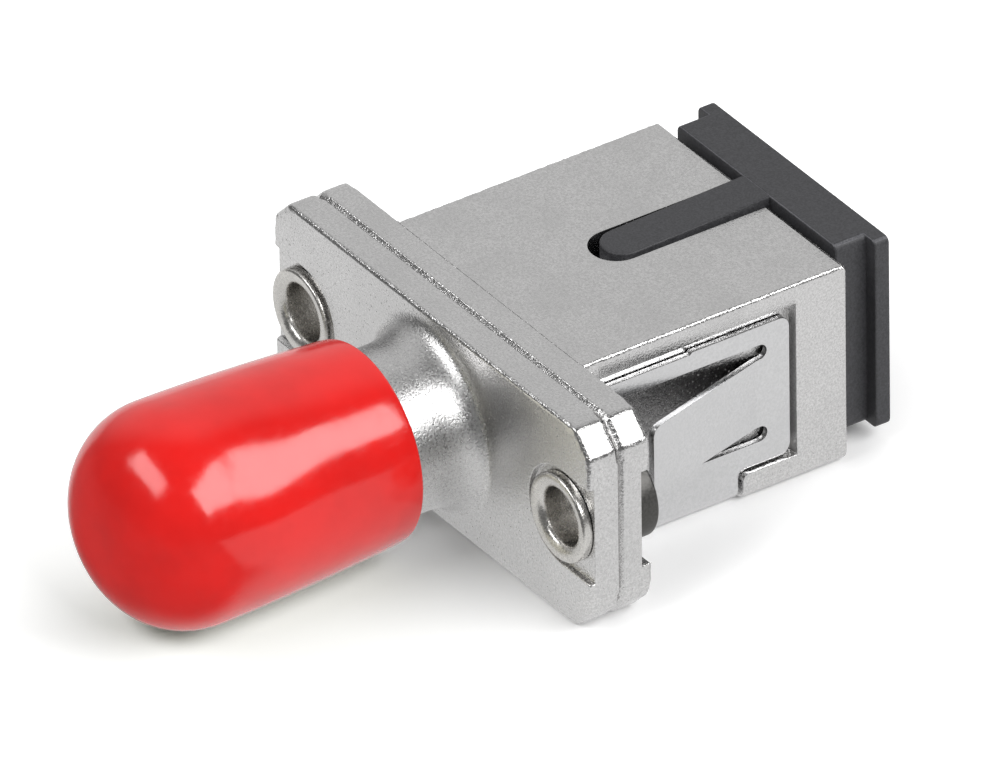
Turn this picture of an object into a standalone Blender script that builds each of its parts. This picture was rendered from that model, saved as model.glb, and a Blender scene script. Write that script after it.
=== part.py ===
"""Hybrid fibre adapter: an ST bayonet barrel on one side, an SC push-pull port on the other.

Built in metres, +Z up. The optical axis runs along Y: the ST side points to -Y and the SC side to +Y.
Places are measured from the optical axis and from the seam between the two flange plates. The whole
adapter hangs under one empty, which puts the origin under the middle of the part, at its lowest point.
"""

import math

import bmesh
import bpy
from mathutils import Matrix, Vector

MM = 0.001

# Flange, shared by both castings
FLANGE_LENGTH = 22.0 * MM
FLANGE_HEIGHT = 9.3 * MM
FLANGE_CHAMFER = 1.05 * MM
FRONT_PLATE = 1.4 * MM
REAR_PLATE = 1.5 * MM
SEAM_GAP = 0.03 * MM
SEAM_CHAMFER = 0.26 * MM

# Fixing holes and the hollow rivets in them
HOLE_MARGIN = 2.0 * MM
HOLE_PITCH = FLANGE_LENGTH - 2 * HOLE_MARGIN
EYELET_BORE_RADIUS = 1.22 * MM
EYELET_SHANK_RADIUS = 1.6 * MM
EYELET_HEAD_RADIUS = 1.9 * MM
FRONT_HEAD_RISE = 0.42 * MM
REAR_HEAD_RISE = 0.9 * MM
POCKET_RADIUS = 2.2 * MM
FRONT_POCKET_DEPTH = 0.25 * MM
REAR_POCKET_DEPTH = 0.4 * MM

# ST barrel
BARREL_MARGIN = 1.15 * MM
BARREL_RADIUS = FLANGE_HEIGHT / 2 - BARREL_MARGIN
BARREL_REACH = 12.5 * MM
BARREL_FILLET = 0.95 * MM
BARREL_RIM_ROUND = 0.2 * MM
MOUTH_WALL = 1.05 * MM
MOUTH_RADIUS = BARREL_RADIUS - MOUTH_WALL
MOUTH_DEPTH = 6.2 * MM
LUG_RADIUS = 0.9 * MM
LUG_RISE = 0.45 * MM
LUG_TIP_RADIUS = BARREL_RADIUS + LUG_RISE
LUG_SETBACK = 1.8 * MM
KEY_NOTCH_WIDTH = 1.7 * MM
KEY_NOTCH_DEPTH = 2.4 * MM

# Alignment sleeve and what holds it
FERRULE_BORE_RADIUS = 1.25 * MM
SLEEVE_RADIUS = 1.6 * MM
SLEEVE_LENGTH = 11.3 * MM
SLEEVE_SLIT = 0.35 * MM
SLEEVE_PLAY = 0.05 * MM
SLEEVE_END_PLAY = 0.1 * MM
LIP_RADIUS = 1.38 * MM
LIP_THICKNESS = 0.3 * MM
HOLDER_RADIUS = 2.0 * MM
HOLDER_FLANGE_RADIUS = 2.85 * MM
HOLDER_FLANGE_THICKNESS = 0.9 * MM
INSERT_TUBE_RADIUS = 2.3 * MM

# SC housing
HOUSING_SHARE = 13 / 18
HOUSING_STEP = 0.05 * MM
HOUSING_WIDTH = HOLE_PITCH * HOUSING_SHARE
HOUSING_HEIGHT = FLANGE_HEIGHT - 2 * HOUSING_STEP
HOUSING_HALF_WIDTH = HOUSING_WIDTH / 2
HOUSING_TOP = HOUSING_HEIGHT / 2
HOUSING_BOTTOM = -HOUSING_HEIGHT / 2
HOUSING_REACH = 14.05 * MM
HOUSING_TOP_ROUND = 0.3 * MM
HOUSING_BOTTOM_ROUND = 0.5 * MM
PORT_SHARE = 9 / 13
PORT_ROOF = 0.9 * MM
PORT_WIDTH = HOUSING_WIDTH * PORT_SHARE
PORT_HEIGHT = HOUSING_HEIGHT - 2 * PORT_ROOF
INSERT_POCKET_SHARE = 11 / 13
INSERT_POCKET_WIDTH = HOUSING_WIDTH * INSERT_POCKET_SHARE
INSERT_POCKET_DEPTH = 1.6 * MM
KEYWAY_WIDTH = 2.3 * MM
KEYWAY_START = 6.4 * MM
RECESS_DEPTH = 0.55 * MM
RECESS_ROOF = 0.9 * MM
RECESS_TOP = HOUSING_TOP - RECESS_ROOF
RECESS_END = 11.65 * MM
LEDGE_HEIGHT = 1.2 * MM
LEDGE_TOP = HOUSING_BOTTOM + LEDGE_HEIGHT
LEDGE_START = 9.05 * MM
LEDGE_ROUND = 0.3 * MM
WEB_RECESS_DEPTH = 0.3 * MM
RELIEF_WALL = 0.5 * MM
RELIEF_START = 2.2 * MM
RELIEF_END = 10.9 * MM

# Black SC insert with its two flexing hooks
FIT = 0.05 * MM
INSERT_MARGIN = 0.1 * MM
HOOK_THICKNESS = 0.9 * MM
HOOK_PLAY = 0.15 * MM
HOOK_INNER = PORT_WIDTH / 2 - HOOK_THICKNESS - HOOK_PLAY
HOOK_SIDE_GAP = 0.3 * MM
HOOK_END = 10.5 * MM
HOOK_BARB = 0.5 * MM
HOOK_BARB_LENGTH = 0.9 * MM
ROOT_GAP = 0.07 * MM

# Sheet-metal clip
SHEET = 0.28 * MM
CLIP_BEND = 0.22 * MM
CLIP_TOP_GAP = 0.55 * MM
CLIP_TOP = RECESS_TOP - CLIP_TOP_GAP
CLIP_TOP_JOG = 0.1 * MM
CLIP_JOG_AT = 6.8 * MM
CLIP_FRONT_GAP = 0.12 * MM
CLIP_REAR_GAP = 0.19 * MM
CLIP_WEB_GAP = 0.1 * MM
CLIP_CORNER = 0.5 * MM
CLIP_RAIL = 0.9 * MM
OPENING_HEIGHT = 2 * (CLIP_TOP - CLIP_RAIL)
OPENING_START = 3.45 * MM
TONGUE_ROOT = 10.03 * MM
SLOT_RADIUS = 0.33 * MM
TONGUE_END_GAP = 0.13 * MM
TONGUE_LENGTH = TONGUE_ROOT - OPENING_START - TONGUE_END_GAP
TONGUE_TAPER = 0.7 * MM
TONGUE_END_HEIGHT = OPENING_HEIGHT - 2 * TONGUE_TAPER
TONGUE_CORNER = 0.45 * MM
TONGUE_FLARE = math.radians(15.0)
RELIEF_MARGIN = 0.15 * MM
RELIEF_HEIGHT = OPENING_HEIGHT - 2 * RELIEF_MARGIN
HOOK_HEIGHT = RELIEF_HEIGHT - 2 * HOOK_SIDE_GAP

# Red vinyl cap
CAP_RIM = 4.6 * MM
CAP_RIM_THICKNESS = 0.77 * MM
CAP_RIM_RADIUS = BARREL_RADIUS + CAP_RIM_THICKNESS
CAP_THICKEST = 1.2 * MM
CAP_RADIUS = BARREL_RADIUS + CAP_THICKEST
CAP_SHOULDER = 13.5 * MM
CAP_END = 17.3 * MM
CAP_END_FLAT = 0.85 * MM
CAP_SWELL = 1.6
CAP_LIP_ROUND = 0.2 * MM
CAP_WALL = 0.85 * MM
CAP_PLAY = 0.06 * MM

# Black SC dust plug
PLUG_MARGIN = 1.0 * MM
PLUG_RISE = 0.28 * MM
PLUG_LIFT = 0.65 * MM
PLUG_WIDTH = HOUSING_WIDTH - 2 * PLUG_MARGIN
PLUG_TOP = HOUSING_TOP + PLUG_RISE
PLUG_BOTTOM = HOUSING_BOTTOM + PLUG_LIFT
PLUG_ROUND = 0.3 * MM
PLUG_GAP = 0.2 * MM
PLUG_BLOCK_LENGTH = 1.45 * MM
PLUG_LIP_THICKNESS = 0.7 * MM
PLUG_LIP_OVERHANG = 0.65 * MM
PLUG_PLATE_PLAY = 0.2 * MM
PLUG_PLATE_WIDTH = PORT_WIDTH - 2 * PLUG_PLATE_PLAY
PLUG_PLATE_THICKNESS = 0.9 * MM
PLUG_PLATE_START = 6.75 * MM
PLUG_KEY_PLAY = 0.2 * MM
PLUG_KEY_WIDTH = KEYWAY_WIDTH - 2 * PLUG_KEY_PLAY
PLUG_KEY_END_PLAY = 0.52 * MM
PLUG_KEY_START = KEYWAY_START + PLUG_KEY_END_PLAY
PLUG_KEY_STEP = 0.05 * MM
PLUG_KEY_TOP = HOUSING_TOP + PLUG_KEY_STEP
PLUG_KEY_RISE = 0.2 * MM

# How finely round shapes are divided, and small helpers
ROUND_STEPS = 48
SMALL_ROUND_STEPS = 32
LUG_STEPS = 24
HALF_ROUND_STEPS = 12
ARC_STEPS = 6
EDGE_STEPS = 3
CAP_CURVE_STEPS = 9
FLAT_ANGLE = math.radians(0.5)
SHARP_ANGLE = math.radians(30.0)
MERGE = 1e-7
OVERSHOOT = 1.0 * MM

# Values worked out from the sizes above
RECESS_FLOOR = HOUSING_HALF_WIDTH - RECESS_DEPTH
WEB_FLOOR = HOUSING_BOTTOM + WEB_RECESS_DEPTH
CLIP_INNER = RECESS_FLOOR + FIT
CLIP_OUTER = CLIP_INNER + SHEET
CLIP_WEB_TOP = WEB_FLOOR - FIT
CLIP_START = REAR_PLATE + CLIP_FRONT_GAP
CLIP_END = RECESS_END - CLIP_REAR_GAP
WEB_END = LEDGE_START - CLIP_WEB_GAP
HOLE_X = HOLE_PITCH / 2
SLEEVE_BORE = SLEEVE_RADIUS + SLEEVE_PLAY
SLEEVE_HALF = SLEEVE_LENGTH / 2
HOLDER_END = SLEEVE_HALF + SLEEVE_END_PLAY + LIP_THICKNESS
INSERT_FRONT = SEAM_GAP + FIT
INSERT_BACK = INSERT_POCKET_DEPTH - FIT
INSERT_END = SLEEVE_HALF + SLEEVE_END_PLAY + LIP_THICKNESS
PLUG_FRONT = HOUSING_REACH + PLUG_GAP
PLUG_LIP_FRONT = PLUG_FRONT + PLUG_BLOCK_LENGTH
PLUG_END = PLUG_LIP_FRONT + PLUG_LIP_THICKNESS
LOWEST = max(CAP_RADIUS, FLANGE_HEIGHT / 2, HOUSING_HEIGHT / 2, SHEET - CLIP_WEB_TOP)
MIDDLE_Y = (PLUG_END - CAP_END) / 2

# Which world direction each axis of a flat outline takes: across, up, and the way it is thickened
PLANES = {
    "front": Matrix(((1, 0, 0), (0, 0, -1), (0, 1, 0))),
    "side": Matrix(((0, 0, 1), (1, 0, 0), (0, 1, 0))),
    "top": Matrix(((1, 0, 0), (0, 1, 0), (0, 0, 1))),
}


def clear_scene():
    """Remove every object, so the script can be run again."""
    for old in list(bpy.data.objects):
        bpy.data.objects.remove(old, do_unlink=True)


def new_collection(name):
    """Return an empty collection of this name, linked to the scene."""
    old = bpy.data.collections.get(name)
    if old:
        bpy.data.collections.remove(old)
    group = bpy.data.collections.new(name)
    bpy.context.scene.collection.children.link(group)
    return group


def principled(name, colour, roughness, metallic):
    """A plain surface with the colour, roughness and metallic value of one part."""
    surface = bpy.data.materials.new(name)
    surface.use_nodes = True
    shader = surface.node_tree.nodes["Principled BSDF"]
    shader.inputs["Base Color"].default_value = (*colour, 1.0)
    shader.inputs["Roughness"].default_value = roughness
    shader.inputs["Metallic"].default_value = metallic
    return surface


def add_object(name, mesh, group):
    """Link a new object holding this mesh to a collection."""
    thing = bpy.data.objects.new(name, mesh)
    group.objects.link(thing)
    return thing


def box(name, low, high, group):
    """An axis-aligned block between two corners."""
    low = Vector(low)
    high = Vector(high)
    shape = bmesh.new()
    size = high - low
    place = Matrix.Translation((low + high) / 2) @ Matrix.Diagonal((*size, 1.0))
    bmesh.ops.create_cube(shape, size=1.0, matrix=place)
    mesh = bpy.data.meshes.new(name)
    shape.to_mesh(mesh)
    shape.free()
    return add_object(name, mesh, group)


def outline_solid(name, points, plane, low, high, group):
    """Thicken a flat outline from low to high along the axis that its plane leaves free."""
    curve = bpy.data.curves.new(name, "CURVE")
    curve.dimensions = "2D"
    curve.fill_mode = "BOTH"
    curve.extrude = (high - low) / 2
    spline = curve.splines.new("POLY")
    spline.points.add(len(points) - 1)
    for knot, (across, up) in zip(spline.points, points):
        knot.co = (across, up, 0.0, 1.0)
    spline.use_cyclic_u = True
    guide = add_object(name + "_outline", curve, group)
    centre = Vector([abs(part) for part in PLANES[plane].col[2]]) * (low + high) / 2
    guide.matrix_world = Matrix.Translation(centre) @ PLANES[plane].to_4x4()
    bpy.context.view_layer.update()
    seen = guide.evaluated_get(bpy.context.evaluated_depsgraph_get())
    mesh = bpy.data.meshes.new_from_object(seen)
    mesh.name = name
    mesh.transform(guide.matrix_world)
    bpy.data.objects.remove(guide, do_unlink=True)
    shape = bmesh.new()
    shape.from_mesh(mesh)
    bmesh.ops.remove_doubles(shape, verts=shape.verts, dist=MERGE)
    bmesh.ops.dissolve_limit(shape, angle_limit=FLAT_ANGLE, verts=shape.verts, edges=shape.edges)
    bmesh.ops.recalc_face_normals(shape, faces=shape.faces)
    shape.to_mesh(mesh)
    shape.free()
    return add_object(name, mesh, group)


def turned(name, profile, group, closed=False, steps=ROUND_STEPS):
    """Turn a profile of (radius, place along Y) about the optical axis."""
    mesh = bpy.data.meshes.new(name)
    edges = [(i, i + 1) for i in range(len(profile) - 1)]
    if closed:
        edges.append((len(profile) - 1, 0))
    mesh.from_pydata([(radius, 0.0, along) for radius, along in profile], edges, [])
    thing = add_object(name, mesh, group)
    thing.rotation_euler = (-math.pi / 2, 0.0, 0.0)
    spin = thing.modifiers.new("turned", "SCREW")
    spin.axis = "Z"
    spin.angle = 2 * math.pi
    spin.steps = steps
    spin.render_steps = steps
    spin.use_merge_vertices = True
    spin.merge_threshold = MERGE
    spin.use_smooth_shade = True
    return thing


def arc(centre, radius, start, end, steps=ARC_STEPS):
    """Points along an arc, angles in degrees, with both ends."""
    points = []
    for i in range(steps + 1):
        angle = math.radians(start + (end - start) * i / steps)
        points.append((centre[0] + radius * math.cos(angle), centre[1] + radius * math.sin(angle)))
    return points


def circle(centre, radius, steps):
    """Points round a full circle, the first not repeated."""
    return arc(centre, radius, 0, 360, steps)[:-1]


def rounded_rectangle(left, right, bottom, top, bottom_round, top_round):
    """Outline of a rectangle whose bottom and top corners have their own radii."""
    points = arc((right - bottom_round, bottom + bottom_round), bottom_round, -90, 0)
    points += arc((right - top_round, top - top_round), top_round, 0, 90)
    points += arc((left + top_round, top - top_round), top_round, 90, 180)
    points += arc((left + bottom_round, bottom + bottom_round), bottom_round, 180, 270)
    return points


def combine(thing, tool, operation):
    """Join or cut with another object, which stays hidden as a guide."""
    step = thing.modifiers.new(tool.name, "BOOLEAN")
    step.operation = operation
    step.object = tool
    step.solver = "EXACT"
    tool.hide_render = True
    tool.display_type = "WIRE"


def cut(thing, *tools):
    """Take each tool's shape away."""
    for tool in tools:
        combine(thing, tool, "DIFFERENCE")


def join(thing, *tools):
    """Add each tool's shape."""
    for tool in tools:
        combine(thing, tool, "UNION")


def flange_plate(name, low, high, group):
    """One chamfered plate of the flange."""
    half_length = FLANGE_LENGTH / 2
    half_height = FLANGE_HEIGHT / 2
    inner_x = half_length - FLANGE_CHAMFER
    inner_z = half_height - FLANGE_CHAMFER
    quarter = [(half_length, inner_z), (inner_x, half_height)]
    points = list(quarter)
    points += [(-x, z) for x, z in reversed(quarter)]
    points += [(-x, -z) for x, z in quarter]
    points += [(x, -z) for x, z in reversed(quarter)]
    return outline_solid(name, points, "front", low, high, group)


def chamfer_front_rim(thing, face_y):
    """Chamfer the edges round the face that meets the seam."""
    shape = bmesh.new()
    shape.from_mesh(thing.data)
    rim = [e for e in shape.edges if all(abs(v.co.y - face_y) < MERGE for v in e.verts)]
    bmesh.ops.bevel(
        shape, geom=rim, offset=SEAM_CHAMFER, segments=1, profile=0.5, affect="EDGES", material=-1
    )
    shape.to_mesh(thing.data)
    shape.free()


def hole_cutters(owner, low, high, pocket_low, pocket_high, cutters):
    """The two fixing holes of one plate and the U-shaped pockets that seat the rivet heads."""
    tools = []
    for side, sign in (("left", -1), ("right", 1)):
        hole = turned(
            f"{owner}_hole_{side}",
            [(0.0, high), (EYELET_SHANK_RADIUS + FIT, high), (EYELET_SHANK_RADIUS + FIT, low), (0.0, low)],
            cutters,
            steps=SMALL_ROUND_STEPS,
        )
        hole.location.x = sign * HOLE_X
        outside = FLANGE_LENGTH / 2 + OVERSHOOT
        half_turn = arc((HOLE_X, 0.0), POCKET_RADIUS, 90, 270, HALF_ROUND_STEPS)
        points = half_turn + [(outside, -POCKET_RADIUS), (outside, POCKET_RADIUS)]
        if sign < 0:
            points = [(-x, z) for x, z in reversed(points)]
        pocket = outline_solid(f"{owner}_pocket_{side}", points, "front", pocket_low, pocket_high, cutters)
        tools += [hole, pocket]
    return tools


def make_st_body(parts, cutters):
    """Front casting: half of the flange and the bayonet barrel."""
    body = flange_plate("st_body", -FRONT_PLATE, 0.0, parts)
    face = -FRONT_PLATE
    fillet_centre = (BARREL_RADIUS + BARREL_FILLET, face - BARREL_FILLET)
    profile = [(0.0, face + FRONT_PLATE / 2), (fillet_centre[0], face + FRONT_PLATE / 2)]
    profile += arc(fillet_centre, BARREL_FILLET, 90, 180)
    rim = -BARREL_REACH
    profile += arc(
        (BARREL_RADIUS - BARREL_RIM_ROUND, rim + BARREL_RIM_ROUND), BARREL_RIM_ROUND, 0, -90, EDGE_STEPS
    )
    profile.append((0.0, rim))
    join(body, turned("barrel", profile, cutters))

    lug_y = rim + LUG_SETBACK
    for side, sign in (("left", -1), ("right", 1)):
        low = MOUTH_RADIUS + FIT
        pin = outline_solid(
            f"lug_{side}",
            circle((lug_y, 0.0), LUG_RADIUS, LUG_STEPS),
            "side",
            min(sign * low, sign * LUG_TIP_RADIUS),
            max(sign * low, sign * LUG_TIP_RADIUS),
            cutters,
        )
        join(body, pin)

    mouth_end = rim + MOUTH_DEPTH
    bore = HOLDER_RADIUS + FIT
    seat = HOLDER_FLANGE_RADIUS + FIT
    seat_depth = HOLDER_FLANGE_THICKNESS + 2 * FIT
    cut(
        body,
        turned(
            "barrel_bore",
            [
                (0.0, OVERSHOOT),
                (seat, OVERSHOOT),
                (seat, -seat_depth),
                (bore, -seat_depth),
                (bore, mouth_end),
                (MOUTH_RADIUS, mouth_end),
                (MOUTH_RADIUS, rim - OVERSHOOT),
                (0.0, rim - OVERSHOOT),
            ],
            cutters,
        ),
        box(
            "key_notch",
            (-KEY_NOTCH_WIDTH / 2, rim - OVERSHOOT, 0.0),
            (KEY_NOTCH_WIDTH / 2, rim + KEY_NOTCH_DEPTH, BARREL_RADIUS + OVERSHOOT),
            cutters,
        ),
        *hole_cutters(
            "st_body",
            face - OVERSHOOT,
            OVERSHOOT,
            face - OVERSHOOT,
            face + FRONT_POCKET_DEPTH,
            cutters,
        ),
    )
    return body


def recess_outline():
    """Side view of the recess that the clip lies in, with the rounded ledge behind it."""
    below = HOUSING_BOTTOM - OVERSHOOT
    centre = (LEDGE_START + LEDGE_ROUND, LEDGE_TOP - LEDGE_ROUND)
    points = [(REAR_PLATE, below), (LEDGE_START, below)]
    points += arc(centre, LEDGE_ROUND, 180, 90)
    points += [(RECESS_END, LEDGE_TOP), (RECESS_END, RECESS_TOP), (REAR_PLATE, RECESS_TOP)]
    return points


def make_sc_housing(parts, cutters):
    """Rear casting: the other half of the flange and the rectangular port."""
    housing = flange_plate("sc_housing", SEAM_GAP, REAR_PLATE, parts)
    chamfer_front_rim(housing, SEAM_GAP)
    outline = rounded_rectangle(
        -HOUSING_HALF_WIDTH,
        HOUSING_HALF_WIDTH,
        HOUSING_BOTTOM,
        HOUSING_TOP,
        HOUSING_BOTTOM_ROUND,
        HOUSING_TOP_ROUND,
    )
    join(housing, outline_solid("port_block", outline, "front", REAR_PLATE / 2, HOUSING_REACH, cutters))

    beyond = HOUSING_REACH + OVERSHOOT
    port = box(
        "port",
        (-PORT_WIDTH / 2, INSERT_POCKET_DEPTH - OVERSHOOT / 2, -PORT_HEIGHT / 2),
        (PORT_WIDTH / 2, beyond, PORT_HEIGHT / 2),
        cutters,
    )
    insert_pocket = box(
        "insert_pocket",
        (-INSERT_POCKET_WIDTH / 2, -OVERSHOOT, -PORT_HEIGHT / 2),
        (INSERT_POCKET_WIDTH / 2, INSERT_POCKET_DEPTH, PORT_HEIGHT / 2),
        cutters,
    )
    half_key = KEYWAY_WIDTH / 2
    slot = arc((0.0, KEYWAY_START + half_key), half_key, 180, 360, HALF_ROUND_STEPS)
    slot += [(half_key, beyond), (-half_key, beyond)]
    keyway = outline_solid("keyway", slot, "top", 0.0, HOUSING_TOP + OVERSHOOT, cutters)
    web_recess = box(
        "web_recess",
        (-HOUSING_WIDTH, REAR_PLATE, HOUSING_BOTTOM - OVERSHOOT),
        (HOUSING_WIDTH, LEDGE_START, WEB_FLOOR),
        cutters,
    )
    cut(housing, port, insert_pocket, keyway, web_recess)
    for side, sign in (("left", -1), ("right", 1)):
        low, high = sorted((sign * RECESS_FLOOR, sign * (HOUSING_HALF_WIDTH + OVERSHOOT)))
        cut(housing, outline_solid(f"clip_recess_{side}", recess_outline(), "side", low, high, cutters))
    relief_half = RECESS_FLOOR - RELIEF_WALL
    relief = box(
        "hook_relief",
        (-relief_half, RELIEF_START, -RELIEF_HEIGHT / 2),
        (relief_half, RELIEF_END, RELIEF_HEIGHT / 2),
        cutters,
    )
    cut(housing, relief)
    holes = hole_cutters(
        "sc_housing",
        -OVERSHOOT,
        REAR_PLATE + OVERSHOOT,
        REAR_PLATE - REAR_POCKET_DEPTH,
        REAR_PLATE + OVERSHOOT,
        cutters,
    )
    cut(housing, *holes)
    return housing


def make_eyelets(parts):
    """Hollow rivets: a shank through both plates with a rolled head at each end."""
    front_seat = -FRONT_PLATE + FRONT_POCKET_DEPTH - FIT / 2
    rear_seat = REAR_PLATE - REAR_POCKET_DEPTH + FIT / 2
    front_end = front_seat - FRONT_HEAD_RISE
    rear_end = rear_seat + REAR_HEAD_RISE
    roll = (EYELET_HEAD_RADIUS - EYELET_BORE_RADIUS) / 2
    middle = EYELET_BORE_RADIUS + roll
    profile = arc((middle, rear_end - roll), roll, 180, 0)
    profile += [
        (EYELET_HEAD_RADIUS, rear_seat),
        (EYELET_SHANK_RADIUS, rear_seat),
        (EYELET_SHANK_RADIUS, front_seat),
        (EYELET_HEAD_RADIUS, front_seat),
    ]
    profile += arc((middle, front_end + roll), roll, 0, -180)
    eyelets = []
    for side, sign in (("left", -1), ("right", 1)):
        eyelet = turned(f"eyelet_{side}", profile, parts, closed=True, steps=SMALL_ROUND_STEPS)
        eyelet.location.x = sign * HOLE_X
        eyelets.append(eyelet)
    return eyelets


def make_st_sleeve_holder(parts):
    """Turned tube that holds the ST half of the alignment sleeve."""
    back = -FIT
    shoulder = back - HOLDER_FLANGE_THICKNESS
    lip = -HOLDER_END + LIP_THICKNESS
    profile = [
        (SLEEVE_BORE, back),
        (HOLDER_FLANGE_RADIUS, back),
        (HOLDER_FLANGE_RADIUS, shoulder),
        (HOLDER_RADIUS, shoulder),
        (HOLDER_RADIUS, -HOLDER_END),
        (LIP_RADIUS, -HOLDER_END),
        (LIP_RADIUS, lip),
        (SLEEVE_BORE, lip),
    ]
    return turned("st_sleeve_holder", profile, parts, closed=True)


def make_split_sleeve(parts):
    """Ceramic alignment sleeve, slit along its whole length."""
    outer_gap = math.degrees(math.asin(SLEEVE_SLIT / 2 / SLEEVE_RADIUS))
    inner_gap = math.degrees(math.asin(SLEEVE_SLIT / 2 / FERRULE_BORE_RADIUS))
    points = arc((0.0, 0.0), SLEEVE_RADIUS, 90 + outer_gap, 450 - outer_gap, steps=ROUND_STEPS)
    points += arc((0.0, 0.0), FERRULE_BORE_RADIUS, 450 - inner_gap, 90 + inner_gap, steps=ROUND_STEPS)
    return outline_solid("split_sleeve", points, "front", -SLEEVE_HALF, SLEEVE_HALF, parts)


def make_sc_insert(parts, cutters):
    """Black moulding trapped in the flange: a base plate and the SC half of the sleeve holder."""
    half_width = INSERT_POCKET_WIDTH / 2 - INSERT_MARGIN
    half_height = PORT_HEIGHT / 2 - INSERT_MARGIN
    insert = box(
        "sc_insert",
        (-half_width, INSERT_FRONT, -half_height),
        (half_width, INSERT_BACK, half_height),
        parts,
    )
    tube = turned(
        "insert_tube",
        [
            (0.0, INSERT_END),
            (INSERT_TUBE_RADIUS, INSERT_END),
            (INSERT_TUBE_RADIUS, (INSERT_FRONT + INSERT_BACK) / 2),
            (0.0, (INSERT_FRONT + INSERT_BACK) / 2),
        ],
        cutters,
    )
    lip = INSERT_END - LIP_THICKNESS
    bore = turned(
        "insert_bore",
        [
            (0.0, INSERT_END + OVERSHOOT),
            (LIP_RADIUS, INSERT_END + OVERSHOOT),
            (LIP_RADIUS, lip),
            (SLEEVE_BORE, lip),
            (SLEEVE_BORE, -OVERSHOOT),
            (0.0, -OVERSHOOT),
        ],
        cutters,
    )
    join(insert, tube)
    cut(insert, bore)
    return insert


def make_connector_hooks(parts):
    """Flexing arms of the insert, each with a barb that snaps over a plug."""
    root = INSERT_BACK + ROOT_GAP
    axis_x = HOOK_INNER + HOOK_THICKNESS / 2
    half = HOOK_THICKNESS / 2
    reach = HOOK_END - root
    barb = reach - HOOK_BARB_LENGTH
    hooks = []
    for side, sign in (("left", -1), ("right", 1)):
        points = [
            (half, 0.0),
            (half, reach),
            (-half, reach),
            (-half - HOOK_BARB, reach - HOOK_BARB_LENGTH / 2),
            (-half - HOOK_BARB, barb),
            (-half, barb),
            (-half, 0.0),
        ]
        if sign < 0:
            points = [(-x, y) for x, y in reversed(points)]
        hook = outline_solid(
            f"connector_hook_{side}", points, "top", -HOOK_HEIGHT / 2, HOOK_HEIGHT / 2, parts
        )
        hook.location = (sign * axis_x, root, 0.0)
        hooks.append(hook)
    return hooks


def clip_section():
    """End view of the U-shaped sheet, from the top of the right side round to the left."""
    outer_bend = CLIP_BEND + SHEET
    web_bottom = CLIP_WEB_TOP - SHEET
    right = CLIP_OUTER - outer_bend
    level = web_bottom + outer_bend
    outer = [(CLIP_OUTER, CLIP_TOP)] + arc((right, level), outer_bend, 0, -90)
    inner = arc((right, level), CLIP_BEND, -90, 0) + [(CLIP_INNER, CLIP_TOP)]
    points = outer + [(-x, z) for x, z in reversed(outer)]
    points += [(-x, z) for x, z in reversed(inner)] + inner
    return points


def tongue_opening():
    """Side view of the window that a tongue is lanced from, with a round relief beside its root."""
    half = OPENING_HEIGHT / 2
    level = half - SLOT_RADIUS
    points = [(OPENING_START, -half)]
    points += arc((TONGUE_ROOT, -level), SLOT_RADIUS, -90, 90)
    points += arc((TONGUE_ROOT, level), SLOT_RADIUS, -90, 90)
    points.append((OPENING_START, half))
    return points


def clip_side_trim():
    """Side view of what is cut off behind the web: the sheet ends above the ledge with round corners."""
    bottom = LEDGE_TOP + FIT * 2
    below = CLIP_WEB_TOP - SHEET - OVERSHOOT
    behind = CLIP_END + OVERSHOOT
    points = [(WEB_END, below), (behind, below), (behind, CLIP_TOP + OVERSHOOT)]
    points.append((CLIP_END - CLIP_CORNER, CLIP_TOP + OVERSHOOT))
    points += arc((CLIP_END - CLIP_CORNER, CLIP_TOP - CLIP_CORNER), CLIP_CORNER, 90, 0)
    points += arc((CLIP_END - CLIP_CORNER, bottom + CLIP_CORNER), CLIP_CORNER, 0, -90)
    notch = LEDGE_ROUND + CLIP_WEB_GAP
    points += arc((WEB_END + notch, bottom - notch), notch, 90, 180)
    return points


def make_mounting_clip(parts, cutters):
    """U-shaped spring sheet that wraps round the port from below."""
    clip = outline_solid("mounting_clip", clip_section(), "front", CLIP_START, CLIP_END, parts)
    half = CLIP_OUTER + OVERSHOOT
    jog = box(
        "clip_top_jog",
        (-half, CLIP_START - OVERSHOOT, CLIP_TOP - CLIP_TOP_JOG),
        (half, CLIP_JOG_AT, CLIP_TOP + OVERSHOOT),
        cutters,
    )
    cut(
        clip,
        outline_solid("clip_openings", tongue_opening(), "side", -half, half, cutters),
        outline_solid("clip_trim", clip_side_trim(), "side", -half, half, cutters),
        jog,
    )
    return clip


def tongue_outline():
    """Side view of one tongue, flat, from its root towards its free end."""
    root_half = OPENING_HEIGHT / 2 - 2 * SLOT_RADIUS
    end_half = TONGUE_END_HEIGHT / 2
    end = -TONGUE_LENGTH
    points = [(-ROOT_GAP / 2, -root_half), (-ROOT_GAP / 2, root_half)]
    points += arc((end + TONGUE_CORNER, end_half - TONGUE_CORNER), TONGUE_CORNER, 90, 180)
    points += arc((end + TONGUE_CORNER, -end_half + TONGUE_CORNER), TONGUE_CORNER, 180, 270)
    return points


def make_clip_tongues(parts):
    """Lanced spring tongues that press on the back of the panel."""
    tongues = []
    for side, sign in (("left", -1), ("right", 1)):
        tongue = outline_solid(
            f"clip_tongue_{side}", tongue_outline(), "side", -SHEET / 2, SHEET / 2, parts
        )
        tongue.location = (sign * (CLIP_INNER + SHEET / 2), TONGUE_ROOT - ROOT_GAP / 2, 0.0)
        tongue.rotation_euler.z = sign * TONGUE_FLARE
        tongues.append(tongue)
    return tongues


def cap_outer(along):
    """Outer radius of the cap between its rim and its shoulder."""
    share = (along - CAP_RIM) / (CAP_SHOULDER - CAP_RIM)
    return CAP_RIM_RADIUS + (CAP_RADIUS - CAP_RIM_RADIUS) * (1 - (1 - share) ** CAP_SWELL)


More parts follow.
